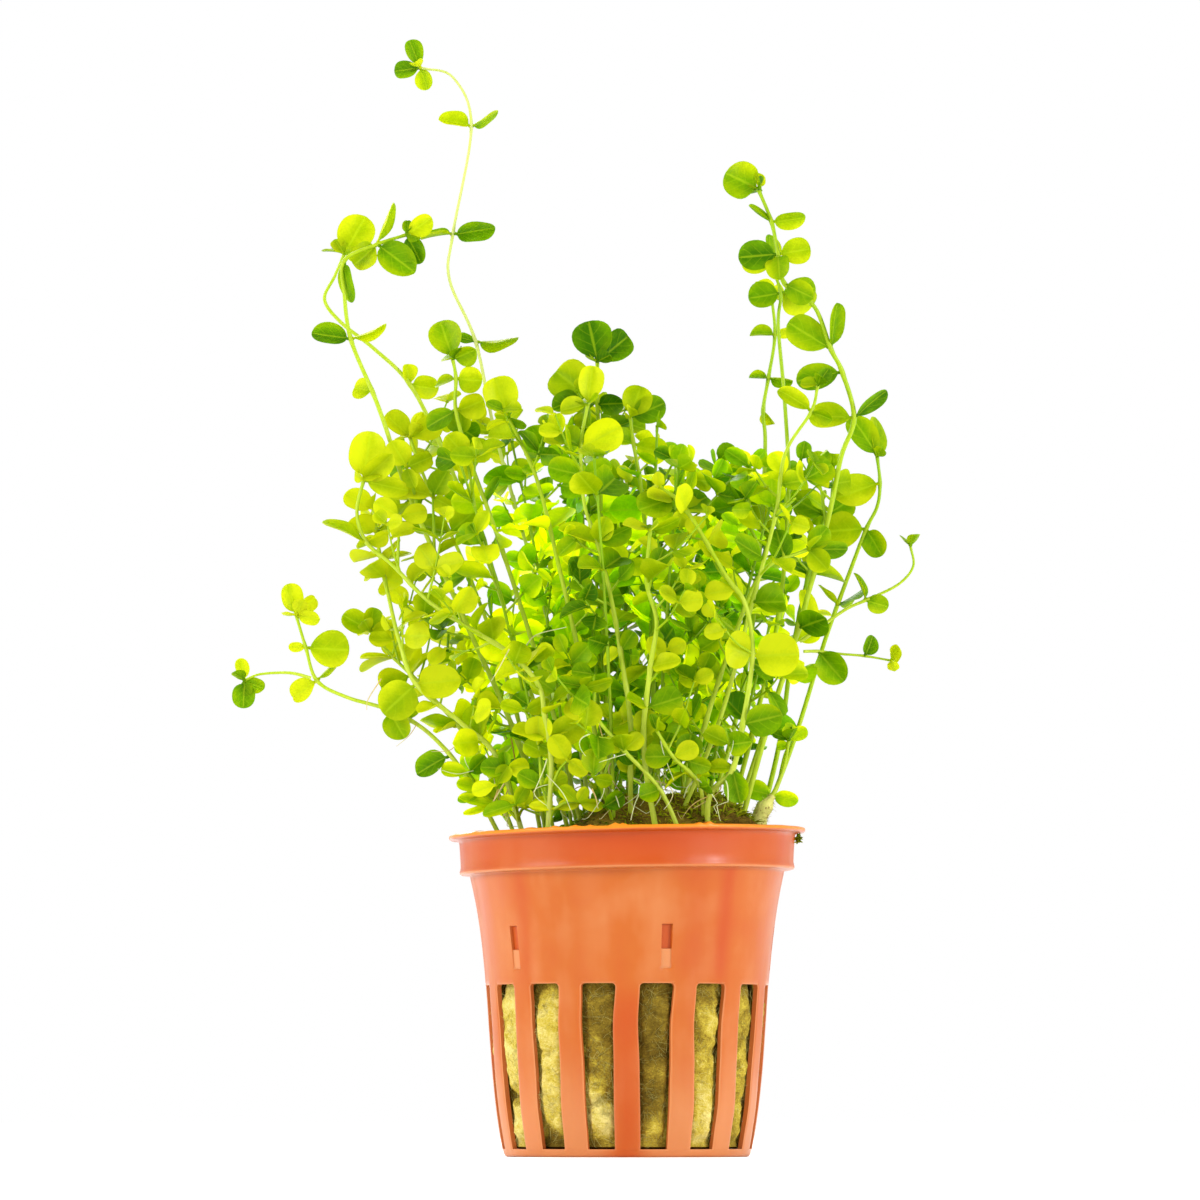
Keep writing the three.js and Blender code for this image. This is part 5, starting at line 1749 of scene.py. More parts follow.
         route=((3, 2.5, 48), (4, 3, 75), (2.5, 3, 98), (1, 3, 108), (0.5, 3, 112)),
         leaves=((4, 22, 5.8, 5, 10, 0), (4, 72, 5, 4.6, 10, 0), (3, -20, 5.4, 4.8, 15, 0),
                 (3, 160, 4.4, 4, 30, 20)),
         pairs=(1, 2)),
)


@dataclass
class Leaf:
    """One leaf: its node, the way it points, the way its upper side faces, its size and a draw."""

    node: Array
    axis: Array
    face: Array
    length: float
    width: float
    draw: float = 0.5


@dataclass
class Shoot:
    """One stem with its leaves.

    Attributes:
        name: Name of the shoot.
        radius: Radius of its stem.
        nodes: Nodes of its stem.
        key: Number that seeds its draws.
        plan: What was read off for it, if it is a traced one.
        leaves: Leaves that found room.
        tone: How light its leaves are.
        twigs: Side twigs that grow from it.
        steps: Steps between two nodes of the points that show where its stem runs.
    """

    name: str
    radius: float
    nodes: Array
    key: int
    plan: Plan | None = None
    leaves: list[Leaf] = field(default_factory=list)
    tone: float = 0.5
    twigs: list["Shoot"] = field(default_factory=list)
    steps: int = 14

    def __post_init__(self) -> None:
        """Works out the points that show where the stem runs."""
        self.trail = curve_points(self.nodes, self.steps)

    def at(self, place: float) -> tuple[Array, Array]:
        """A place along the stem, on the straight line between the nodes beside it.

        Args:
            place: Node number, with a fraction between nodes.

        Returns:
            The point and the stem's direction there.
        """
        below = min(math.floor(place), len(self.nodes) - 2)
        low, high = self.nodes[below], self.nodes[below + 1]
        return low + (high - low) * (place - below), unit(high - low)


class Crowd:
    """All leaves and stems laid out so far, kept as arrays to test whether a new one has room."""

    def __init__(self, most: int = 6000) -> None:
        """Makes room for the leaves' values.

        Args:
            most: Largest number of leaves.
        """
        self.count = 0
        self.values = np.zeros((most, 3 * 4 + 2))
        self.samples = np.zeros((most, 19, 3))
        self.owners = np.zeros(most, dtype=int)
        self.stems = np.zeros((0, 3))
        self.stem_radii = np.zeros(0)
        self.stem_owners = np.zeros(0, dtype=int)

    @staticmethod
    def row_of(leaf: Leaf) -> Array:
        """A leaf's node, axis, face, side way, length and width, end to end."""
        side = np.cross(leaf.face, leaf.axis)
        return np.concatenate([leaf.node, leaf.axis, leaf.face, side, [leaf.length, leaf.width]])

    @staticmethod
    def spread_of(leaf: Leaf) -> Array:
        """Points spread over a leaf: its middle, half way out and the rim of an oval.

        Args:
            leaf: The leaf.

        Returns:
            Nineteen points.
        """
        side = np.cross(leaf.face, leaf.axis)
        middle = leaf.node + leaf.axis * leaf.length * 0.55
        inner = np.arange(6) * 2 * math.pi / 6
        outer = np.arange(12) * 2 * math.pi / 12
        angles = np.concatenate([inner, outer])
        share = np.concatenate([np.full(6, 0.5), np.full(12, 1.0)])
        along = (np.cos(angles) * leaf.length * 0.45 * share)[:, None]
        across = (np.sin(angles) * leaf.width * 0.5 * share)[:, None]
        return np.vstack([middle, middle + leaf.axis * along + side * across])

    def keep(self, leaf: Leaf, owner: int) -> None:
        """Adds a leaf.

        Args:
            leaf: The leaf.
            owner: Number of its shoot.
        """
        self.values[self.count] = self.row_of(leaf)
        self.samples[self.count] = self.spread_of(leaf)
        self.owners[self.count] = owner
        self.count += 1

    def keep_stem(self, shoot: "Shoot", owner: int) -> None:
        """Adds a stem.

        Args:
            shoot: The shoot or twig whose stem it is.
            owner: Number of the shoot that it belongs to.
        """
        number = len(shoot.trail)
        self.stems = np.vstack([self.stems, shoot.trail])
        self.stem_radii = np.concatenate([self.stem_radii, np.full(number, shoot.radius)])
        self.stem_owners = np.concatenate([self.stem_owners, np.full(number, owner)])

    @staticmethod
    def near(points: Array, values: Array, clearance: float | Array) -> Array:
        """Whether points come within a clearance of leaves, taken as flat ovals.

        Args:
            points: Points, (..., 3), matched with or spread against the leaves.
            values: Rows of leaf values that the points' shape broadcasts with.
            clearance: The clearance, the same for all or one for each point.

        Returns:
            True for each pair that comes too near.
        """
        node, axis, face, side = (values[..., k:k + 3] for k in (0, 3, 6, 9))
        length, width = values[..., 12], values[..., 13]
        offset = points - node - axis * (length * 0.55)[..., None]
        along = (offset * axis).sum(-1) / (length * 0.45 + clearance * 0.6)
        across = (offset * side).sum(-1) / (width * 0.5 + clearance * 0.6)
        flat = np.abs((offset * face).sum(-1)) < clearance
        return flat & (along**2 + across**2 < 1)

    def blades_meet(self, leaf: Leaf, clearance: float, skipped: Array) -> bool:
        """Whether a leaf comes too near to one that is kept.

        Args:
            leaf: The new leaf.
            clearance: Least distance between two blades.
            skipped: True for each kept leaf that doesn't count.

        Returns:
            True if it does.
        """
        values = self.values[:self.count]
        reach = (values[:, 12] + leaf.length) * 1.1
        close = (np.linalg.norm(values[:, :3] - leaf.node, axis=1) <= reach) & ~skipped
        if not close.any():
            return False
        if self.near(self.samples[:self.count][close], self.row_of(leaf), clearance).any():
            return True
        return bool(self.near(self.spread_of(leaf)[None], values[close][:, None], clearance).any())

    def stems_meet(self, leaf: Leaf, owner: int, room: float) -> bool:
        """Whether another shoot's stem runs through a leaf.

        Args:
            leaf: The leaf.
            owner: Number of the leaf's own shoot.
            room: Room that a stem needs beside its radius.

        Returns:
            True if one does.
        """
        others = self.stem_owners != owner
        close = others & (np.linalg.norm(self.stems - leaf.node, axis=1) < leaf.length * 1.3 + 1)
        clearance = self.stem_radii[close] + room
        return bool(self.near(self.stems[close], self.row_of(leaf), clearance).any())


@dataclass(frozen=True)
class Sprig:
    """A small side shoot that can be told apart from the front.

    Attributes:
        tip: Its tip as [across, depth, height].
        leaves: Leaves at the tip, each [direction in degrees, length, width, turn, tilt].
        drop: How far below the tip it leaves the nearest stem.
    """

    tip: tuple[float, float, float]
    leaves: tuple
    drop: float = 8.0


SPRIGS = (
    Sprig((7.2, -6, 105.5), ((150, 3.4, 2.6, 30, 0), (30, 3.2, 2.4, 40, 0), (100, 2.4, 1.8, 20, 0)), 9),
    Sprig((13, -4, 102.5), ((175, 4, 2, 60, 0), (10, 3, 2.2, 50, 0), (60, 3.6, 2.6, 20, 0))),
    Sprig((18.5, 2, 104.5), ((140, 4.4, 3.4, 20, 0), (40, 3.6, 3.2, 20, 0), (-80, 3, 2.6, 30, 0))),
    Sprig((23.8, -6, 103), ((110, 4.2, 3.8, 10, 0), (200, 3.4, 2.8, 30, 0), (-20, 3, 2.6, 30, 0))),
    Sprig((28.8, -5, 103.5), ((85, 3.4, 3.2, 10, 0), (190, 2.4, 2, 30, 0))),
    Sprig((22, -9, 98.5), ((90, 4.2, 4.2, 0, 0), (-10, 3, 2.6, 30, 0))),
    Sprig((-5.2, -21, 57.5), ((85, 4.2, 4, 0, 0), (-20, 3, 2.6, 30, 0))),
    Sprig((-19.5, -11, 53.2), ((172, 6, 1.9, 30, 0), (200, 5.4, 1.7, 40, 0), (140, 4, 1.6, 50, 0)), 3),
    Sprig((-17, -15, 53.2), ((194, 5, 2.8, 20, 0), (60, 3.4, 2.6, 20, 0)), 3),
    Sprig((-13, -17, 56), ((150, 4, 3.4, 10, 0), (20, 4.2, 3.2, 15, 0)), 4),
    Sprig((-9, -20, 60), ((120, 4.4, 4, 10, 0), (-30, 3.6, 3, 20, 0)), 5),
    Sprig((1, -21, 57), ((60, 3.8, 3.6, 5, 0), (170, 3.6, 3.4, 10, 0)), 4),
    Sprig((9, -20, 60), ((80, 4, 3.8, 5, 0), (-20, 3.8, 3, 15, 0)), 5),
    Sprig((-24, -10, 58), ((170, 4.2, 3, 20, 0), (40, 3.6, 3, 20, 0)), 5),
    Sprig((-21.5, -9, 55.6), ((165, 4.4, 2.2, 20, 0), (35, 3.8, 2.4, 30, 0), (-60, 2.8, 1.8, 20, 0)), 4),
    Sprig((-15.4, -14, 52.8), ((150, 4, 2, 30, 0), (15, 4.2, 2.2, 20, 0), (80, 2.8, 2, 10, 0)), 3),
    Sprig((-11, -17, 52.6), ((165, 3.8, 2, 30, 0), (20, 4, 2.4, 10, 0)), 3),
    Sprig((-7.4, -18, 53.6), ((140, 3.6, 2.6, 10, 0), (-10, 3.8, 2.4, 20, 0), (60, 2.6, 2, 0, 0)), 3),
    Sprig((-3.6, -19, 52.9), ((160, 3.4, 2.2, 30, 0), (30, 3.6, 2.6, 10, 0)), 3),
    Sprig((-18.4, -13, 58.6), ((175, 3.8, 3, 10, 0), (10, 3.6, 3, 20, 0), (95, 2.6, 2.2, 0, 0)), 5),
    Sprig((-12.2, -18, 60.8), ((150, 3.8, 3.2, 10, 0), (0, 3.8, 3, 20, 0)), 5),
    Sprig((-2, -19, 61.4), ((165, 3.8, 3.4, 0, 0), (-15, 3.6, 3.2, 10, 0)), 5),
    Sprig((-33.5, -8, 104.5), ((120, 4.6, 4, 10, 0), (20, 4.2, 3.6, 20, 0), (-70, 3.4, 3, 20, 0)), 8),
    Sprig((-29.5, -6, 100), ((160, 4.8, 3.8, 20, 0), (60, 4.4, 4, 0, 0), (-30, 3.8, 3, 30, 0)), 8),
    Sprig((-34.5, -10, 97), ((150, 4.4, 3.6, 10, 0), (10, 4.2, 3.4, 20, 0)), 8),
    Sprig((-24.5, -10, 106), ((130, 4.4, 4, 10, 0), (25, 4.2, 3.8, 10, 0), (-80, 3.4, 2.8, 20, 0)), 8),
    Sprig((-13.4, -18, 62.4), ((90, 4.2, 4, 0, 0), (-25, 3.2, 2.6, 20, 0)), 5),
    Sprig((-15.5, -17, 67.4), ((20, 4, 2.6, 20, 0), (160, 3.8, 2.4, 20, 0)), 5),
    Sprig((2.6, -20, 63.4), ((85, 4.2, 4, 0, 0), (190, 3, 2.4, 20, 0)), 5),
    Sprig((-5, -20, 73), ((50, 5.2, 5, 0, 0), (170, 3.4, 3.2, 10, 0)), 6),
    Sprig((24.6, -3, 62.4), ((95, 2.8, 2.6, 10, 0), (195, 2, 1.6, 20, 0)), 7),
    Sprig((-19.8, -13, 56.2), ((195, 3.8, 2.6, 20, 0), (60, 3.4, 2.6, 10, 0)), 3),
    Sprig((-22.3, -11, 54.6), ((185, 3.4, 1.8, 30, 0), (20, 3, 2, 20, 0)), 3),
)


@dataclass
class Clump:
    """Layout of the whole plant: the traced shoots, then ordinary ones between them.

    Attributes:
        plug: The plug that the shoots root in.
        fill_count: How many ordinary shoots there are.
        fill_base: Radius within which they root.
        fill_reach: How far they lean out along X and Y.
        fill_tall: Height of the tall ones.
        fill_short: Height of the short ones.
        spacing: Distance between nodes.
        tries: How many routes are tried for each.
        root_depth: How deep they root.
        leaf_length: Length of an ordinary leaf.
        leaf_share: Its width as a share of its length.
        blade_room: Least distance between two blades in the solids' layout.
        stem_room: Least distance between two stems.
        view_distance: Distance of the front view's eye.
        view_x: Its place across.
        mass_heights: Heights at which the sides of the dense part are given.
        mass_left: Left side of the dense part at those heights.
        mass_right: Right side of the dense part at those heights.
        crown_across: Places at which the top of the dense part is given.
        crown_heights: Height of its top at those places.
        mass_depth: How far it reaches to the front and to the back.
        free_share: Share of the finer leaves that may cover a traced one.
        tip_length: Length of the young leaves at a traced shoot's tip.
        fine_room: Room between a stem and one of the finer leaves.
        fine_clearance: Least distance between a finer leaf's blade and another.
        fine_forward: How much the finer leaves turn their faces to the front.
        bed_reach: Radius within which leaves have to clear the bed.
        rim_reach: Radius within which they have to clear the rim.
        rim_clear: Height that clears the rim.
        shoots: The shoots laid out so far.
        crowd: Their leaves and stems as arrays.
        seen: Points of the traced shoots as [across, height, depth] in the front view.
    """

    plug: WoolPlug
    fill_count: int = 22
    fill_base: float = 18.5
    fill_reach: tuple[float, float] = (37.0, 31.0)
    fill_tall: float = 108.0
    fill_short: float = 74.0
    spacing: float = 11.5
    tries: int = 14
    root_depth: float = 2.5
    leaf_length: float = 5.6
    leaf_share: float = 0.84
    blade_room: float = 0.85
    stem_room: float = 2.1
    view_distance: float = VIEW_DISTANCE
    view_x: float = -4.0
    mass_heights: tuple = (49, 54, 56, 60, 70, 78, 90, 104, 112, 118)
    mass_left: tuple = (-22, -22, -23, -25, -34, -38, -39, -39, -35, -28)
    mass_right: tuple = (-4, -3, 12, 19, 23, 26, 31, 33, 30, 26)
    crown_across: tuple = (-40, -34, -28, -19, -15, -10, -3, 4, 7, 17, 26, 32, 36)
    crown_heights: tuple = (100, 113, 117, 115, 107, 116, 116, 111, 105, 106, 107, 104, 95)
    mass_depth: float = 29.0
    free_share: float = 0.22
    tip_length: float = 2.7
    fine_room: float = 0.22
    fine_clearance: float = 0.3
    fine_forward: float = 0.35
    bed_reach: float = 22.5
    rim_reach: float = 28.5
    rim_clear: float = 50.1
    shoots: list[Shoot] = field(default_factory=list)
    crowd: Crowd = field(default_factory=Crowd)
    seen: Array = field(default_factory=lambda: np.zeros((0, 3)))

    GOLDEN_ANGLE = 2.399963

    def at_depth(self, place: tuple, rooted: bool) -> Array:
        """A point read off the front view, moved out to the depth that it lies at.

        Args:
            place: Across, depth and height in the plane through the pot's axis.
            rooted: Whether the point stays where the plug is.

        Returns:
            The point.
        """
        across, depth, height = place
        spread = 1 if rooted else 1 + depth / self.view_distance
        return np.array([self.view_x + (across - self.view_x) * spread, depth, height * spread])

    @staticmethod
    def traced_leaf(node: Array, entry: tuple) -> Leaf:
        """A leaf that was read off the front view.

        Args:
            node: Where it grows.
            entry: Node number, direction, length, width, turn about its axis and tilt away.

        Returns:
            The leaf.
        """
        _, degrees, length, width, turn, tilt = entry
        direction, away = math.radians(degrees), math.radians(tilt)
        axis = np.array([math.cos(away) * math.cos(direction), math.sin(away),
                         math.cos(away) * math.sin(direction)])
        viewer = np.array([0.0, -1.0, 0.0])
        face = unit(viewer - axis * viewer.dot(axis))
        return Leaf(node, axis, turned(face, axis, math.radians(turn)), length, width)

    def settle_leaf(self, leaf: Leaf, owner: int, traced: bool, room: float = 0.65,
                    clearance: float | None = None) -> bool:
        """Keeps a leaf if no other stem crosses it and no blade is too near.

        A traced leaf may touch leaves of its own shoot, and the two of a pair may touch.

        Args:
            leaf: The leaf.
            owner: Number of its shoot.
            traced: Whether it was read off the front view.
            room: Room that a stem needs beside its radius.
            clearance: Least distance to other blades.

        Returns:
            True if it was kept.
        """
        if not traced and (not self.above_pot(leaf) or self.hides(leaf)):
            return False
        crowd = self.crowd
        own = crowd.owners[:crowd.count] == owner
        twin = np.linalg.norm(crowd.values[:crowd.count, :3] - leaf.node, axis=1) < 0.1
        skipped = own if traced else own & twin
        if crowd.stems_meet(leaf, owner, room):
            return False
        if crowd.blades_meet(leaf, clearance or self.blade_room, skipped):
            return False
        crowd.keep(leaf, owner)
        self.shoots[owner].leaves.append(leaf)
        return True

    def lay_out_traced(self) -> None:
        """Adds the traced shoots, then the leaves that were read off for them."""
        for number, plan in enumerate(TRACED):
            rooted = [not plan.branch] + [False] * (len(plan.route) - 1)
            nodes = np.array([self.at_depth(*entry) for entry in zip(plan.route, rooted)])
            shoot = Shoot(plan.name, plan.radius, nodes, number + 1, plan, tone=plan.tone)
            self.shoots.append(shoot)
            self.crowd.keep_stem(shoot, number)
        for number, shoot in enumerate(self.shoots):
            for entry in shoot.plan.leaves:
                self.settle_leaf(self.traced_leaf(shoot.nodes[entry[0]], entry), number, True)

    def fill_route(self, k: int, attempt: int) -> Array:
        """Route of an ordinary shoot: a quadratic curve up from the plug and out to its tip.

        Args:
            k: Number of the shoot.
            attempt: How many routes were tried for it before.

        Returns:
            Its nodes.
        """
        turn = (k + 0.37 * attempt) * self.GOLDEN_ANGLE
        share = math.sqrt((k + 0.5) / self.fill_count)
        base_share = min(1, share + 0.05 * attempt * (scatter(k, attempt) - 0.5))
        way = np.array([math.cos(turn), math.sin(turn)])
        x, y = way * base_share * self.fill_base
        base = np.array([x, y, self.plug.bed(x, y) - self.root_depth])
        short = k % 3 == 2
        height = self.fill_tall - 9 * share * share + 6 * (scatter(k, 6) - 0.5)
        if short:
            height = self.fill_short + 12 * scatter(k, 5)
        across, deep = way * share * self.fill_reach * (0.78 if short else 1)
        tip = np.array([across - 1, deep, height])
        bend = np.array([x * 1.25, y * 1.25, base[2] + 0.5 * (tip[2] - base[2])])
        fine = quadratic(base, bend, tip, np.linspace(0, 1, 201)[:, None])
        length = np.linalg.norm(np.diff(fine, axis=0), axis=1).sum()
        count = max(2, math.floor(length / self.spacing + 0.5))
        return quadratic(base, bend, tip, np.linspace(0, 1, count + 1)[:, None])

    def add_fill(self) -> None:
        """Adds ordinary shoots between the traced ones, each on the first route that has room."""
        for k in range(self.fill_count):
            for attempt in range(self.tries):
                shoot = Shoot(f"inner_{k + 1:02d}", 0.4, self.fill_route(k, attempt), k + 100)
                if not self.stem_blocked(shoot, self.stem_room, 0.65):
                    shoot.tone = 0.18 + 0.45 * scatter(k, 3)
                    self.crowd.keep_stem(shoot, len(self.shoots))
                    self.shoots.append(shoot)
                    break

    def stem_blocked(self, shoot: Shoot, apart: float, room: float, skipped: int = -1) -> bool:
        """Whether a stem comes too near to another stem or to a leaf.

        Args:
            shoot: The new shoot.
            apart: Least distance between two stems.
            room: Room between the stem and a leaf.
            skipped: Number of a shoot whose stem and leaves don't count.

        Returns:
            True if it does.
        """
        crowd = self.crowd
        others = crowd.stems[crowd.stem_owners != skipped]
        if len(others) and np.linalg.norm(shoot.trail[:, None] - others[None], axis=-1).min() < apart:
            return True
        values = crowd.values[:crowd.count][crowd.owners[:crowd.count] != skipped]
        return bool(crowd.near(shoot.trail[:, None], values[None], shoot.radius + room).any())

    def pair(self, shoot: Shoot, place: float, key: int, size: float, forward: float = 0.0) -> list[Leaf]:
        """Two opposite leaves, each pair turned a quarter from the pair below.

        Args:
            shoot: The shoot they grow on.
            place: Where on it.
            key: Number that seeds the draws.
            size: Middle length of a leaf.
            forward: How much they turn their faces to the front.

        Returns:
            The leaves.
        """
        node, ahead = shoot.at(place)
        order = round(2 * place)
        side = np.cross([1.0, 0.0, 0.0], ahead)
        if np.linalg.norm(side) < 0.2:
            side = np.cross([0.0, 1.0, 0.0], ahead)
        side = turned(unit(side), ahead, order * math.pi / 2 + 1.1 * scatter(key, order))
        leaves = []
        for sign in (1, -1):
            draw = [scatter(key + 31 * ch + 7 * sign, order + 3.7 * ch) for ch in range(8)]
            rise = 0.15 + 0.5 * draw[1]
            axis = side * sign * math.cos(rise) + ahead * math.sin(rise)
            outward = unit(np.array([node[0], node[1], 0.0]))
            facing = (np.array(draw[2:5]) - 0.5) * 1.3 + outward * 0.45 + np.array([0.0, -forward, 0.5])
            face = unit(facing - axis * facing.dot(axis))
            length = size * (0.82 + 0.36 * draw[5])
            leaves.append(Leaf(node, axis, face, length, length * self.leaf_share, draw[6]))
        return leaves

    def grow_pairs(self) -> None:
        """Adds ordinary pairs: where a plan says, or up the outer half of an ordinary shoot."""
        for number, shoot in enumerate(self.shoots):
            last = len(shoot.nodes) - 1
            first = last // 2 + 0.5
            places = [first + i for i in range(math.ceil(last - first))]
            if shoot.plan:
                places = [point + 0.5 for point in shoot.plan.pairs]
            pairs = [self.pair(shoot, place, shoot.key, self.leaf_length) for place in places]
            if not shoot.plan:
                pairs.append(self.pair(shoot, last, shoot.key, self.leaf_length * 0.7))
            for leaf in sum(pairs, []):
                self.settle_leaf(leaf, number, False)

    def in_mass(self, point: Array) -> bool:
        """Whether a point lies in the dense part of the clump, as its outline shows from the front.

        Args:
            point: The point.

        Returns:
            True if it does.
        """
        x, z, depth = self.front_view(point)
        left = np.interp(z, self.mass_heights, self.mass_left)
        right = np.interp(z, self.mass_heights, self.mass_right)
        top = np.interp(x, self.crown_across, self.crown_heights)
        return bool(left < x < right and z < top and abs(depth) < self.mass_depth)

    def above_pot(self, leaf: Leaf) -> bool:
        """Whether a leaf stays clear of the bed and of the pot's rim.

        Args:
            leaf: The leaf.

        Returns:
            True if it does.
        """
        x, y, z = self.crowd.spread_of(leaf).T
        reach = np.hypot(x, y)
        floor = np.where(reach < self.rim_reach, self.rim_clear, 0.0)
        floor = np.where(reach < self.bed_reach, self.plug.bed(x, y) + 0.5, floor)
        return bool((z > floor + self.plug.pot.lean * x).all())

    def front_view(self, points: Array) -> Array:
        """Points as the front view shows them.

        Args:
            points: The points, (..., 3).

        Returns:
            Across, height and depth of each.
        """
        x, y, z = np.moveaxis(points, -1, 0)
        spread = 1 + y / self.view_distance
        return joined(self.view_x + (x - self.view_x) / spread, z / spread, y)

    def note_seen(self) -> None:
        """Notes the traced shoots' stems and leaves as they show from the front."""
        crowd = self.crowd
        traced = crowd.stem_owners < len(TRACED)
        blades = crowd.samples[:crowd.count][crowd.owners[:crowd.count] < len(TRACED)]
        self.seen = self.front_view(np.vstack([crowd.stems[traced], blades.reshape(-1, 3)]))

    def hides(self, leaf: Leaf, near: float = 0.75) -> bool:
        """Whether a leaf would cover a traced stem or leaf in the front view.

        Args:
            leaf: The leaf.
            near: How far apart in the view a point of each may be to count as covering.

        Returns:
            True if it would.
        """
        if not len(self.seen) or leaf.draw < self.free_share:
            return False
        own = self.front_view(self.crowd.spread_of(leaf))
        middle = own[0]
        close = np.hypot(*(self.seen[:, :2] - middle[:2]).T) < leaf.length * 0.6 + near
        other = self.seen[close & (self.seen[:, 2] > middle[2] + 0.2)]
        gaps = np.hypot(other[:, None, 0] - own[None, :, 0], other[:, None, 1] - own[None, :, 1])
        return bool((gaps < near).any())

    def grow_sprigs(self) -> None:
        """Adds the small side shoots, each from the stem that passes nearest below its tip."""
        for sprig in SPRIGS:
            tip = self.at_depth(sprig.tip, False)
            foot = tip - UP * sprig.drop
            nearest = int(np.argmin(np.linalg.norm(self.crowd.stems - foot, axis=1)))
            start, owner = self.crowd.stems[nearest], int(self.crowd.stem_owners[nearest])
            middle = (start + tip) / 2 + UP * 0.12 * np.linalg.norm(tip - start)
            shoot = self.shoots[owner]
            twig = Shoot(shoot.name, 0.3, np.array([start, middle, tip]), 0, tone=shoot.tone, steps=5)
            shoot.twigs.append(twig)
            self.crowd.keep_stem(twig, owner)
            for entry in sprig.leaves:
                self.settle_leaf(self.traced_leaf(tip, (2, *entry)), owner, True, 0.2, 0.3)

    def thicken(self) -> None:
        """Adds what is too fine for the solids: the other pairs, side twigs and young tips."""
        self.note_seen()
        self.grow_sprigs()
        for number, shoot in enumerate(self.shoots):
            if shoot.plan and shoot.plan.leaves:
                for leaf in self.pair(shoot, len(shoot.nodes) - 1, shoot.key + 900, self.tip_length):
                    leaf.node = leaf.node - [0.0, 0.5, 0.0]
                    self.settle_leaf(leaf, number, True, 0.1, 0.15)
        for number, shoot in enumerate(self.shoots):
            last = len(shoot.nodes) - 1
            for place in np.arange(0.5, last, 0.5):
                node = shoot.at(place)[0]
                if self.in_mass(node):
                    size = self.leaf_length * (0.6 + 0.36 * float(smooth(52, 80, node[2])))
                    leaves = self.pair(shoot, place, shoot.key + 300, size, self.fine_forward)
                    self.add_finer(leaves, number)
        for round_number in range(2):
            for number in range(len(self.shoots)):
                self.grow_twigs(number, round_number)

    def add_finer(self, leaves: list[Leaf], number: int) -> None:
        """Keeps those of a shoot's finer leaves that have room.

        Args:
            leaves: The leaves.
            number: Number of the shoot.
        """
        for leaf in leaves:
            self.settle_leaf(leaf, number, False, self.fine_room, self.fine_clearance)

    def grow_twigs(self, number: int, round_number: int) -> None:
        """Adds side twigs to a shoot inside the dense part, each with pairs up to its tip.

        Args:
            number: Number of the shoot.
            round_number: How many rounds of twigs were added before.
        """
        shoot = self.shoots[number]
        last = len(shoot.nodes) - 1
        for order, place in enumerate(np.arange(0.3 + 0.25 * round_number, last - 0.2, 0.5)):
            start, ahead = shoot.at(place)
            if not self.in_mass(start):
                continue
            for attempt in range(4):
                key = shoot.key + 40 * order + 7 * attempt + 500 * round_number
                side = turned(unit(np.cross([0.0, 1.0, 0.1], ahead)), ahead, 2 * math.pi * scatter(key, 9))
                length = 4.5 + 6.5 * scatter(key, 17)
                way = unit(side + 0.45 * ahead + UP * 0.25)
                end = start + way * length + UP * 0.2 * length
                if not self.in_mass(end):
                    continue
                nodes = np.array([start, start + way * length * 0.5, end])
                twig = Shoot(shoot.name, 0.22, nodes, key, tone=shoot.tone, steps=5)
                if self.stem_blocked(twig, 0.7, 0.15, number):
                    continue
                before = len(shoot.leaves)
                for spot, size in ((0.9, 0.8), (1.5, 0.74), (2.0, 0.55)):
                    leaves = self.pair(twig, spot, key, self.leaf_length * size, self.fine_forward)
                    self.add_finer(leaves, number)
                if len(shoot.leaves) > before + 2:
                    shoot.twigs.append(twig)
                    self.crowd.keep_stem(twig, number)
                    break
                self.crowd.count -= len(shoot.leaves) - before
                del shoot.leaves[before:]

    def build(self) -> None:
        """Lays the whole plant out."""
        self.lay_out_traced()
        self.add_fill()
        self.grow_pairs()
        self.thicken()


# Hair roots that can be told apart from the front, each as [across, height] from its stem outwards
ROOT_LINES = (
    ((-36.9, 71.5), (-38.8, 68.4), (-39.0, 66.7)),
    ((-31.5, 65.0), (-32.7, 63.1), (-34.6, 61.4)),
    ((-25.3, 62.0), (-26.7, 60.7), (-29.3, 60.5)),
    ((-23.1, 57.8), (-25.6, 57.3), (-28.4, 58.0)),
    ((-19.3, 54.9), (-20.2, 52.6), (-20.6, 50.9)),
    ((-17.9, 54.9), (-18.6, 52.8), (-19.2, 50.9)),
    ((-9.4, 54.9), (-8.6, 52.8), (-8.2, 50.9)),
    ((-5.3, 54.6), (-4.7, 53.2), (-4.4, 51.6)),
    ((-2.3, 54.6), (-1.6, 53.2), (-1.2, 51.9)),
    ((-17.6, 63.6), (-15.8, 54.7), (-13.6, 55.4), (-12.1, 57.6)),
    ((-18.4, 55.8), (-19.9, 53.2), (-20.9, 50.9)),
    ((-12.1, 56.9), (-9.6, 54.0), (-8.2, 50.9)),
    ((-7.0, 58.4), (-2.9, 56.1), (-1.2, 51.7)),
    ((0.0, 59.8), (-2.2, 59.1), (-4.2, 58.4)),
    ((-15.4, 76.0), (-13.6, 77.9), (-9.1, 79.0)),
    ((-17.6, 75.3), (-19.1, 72.4), (-20.2, 70.5)),
    ((1.9, 76.4), (2.1, 74.5), (4.4, 77.8)),
)


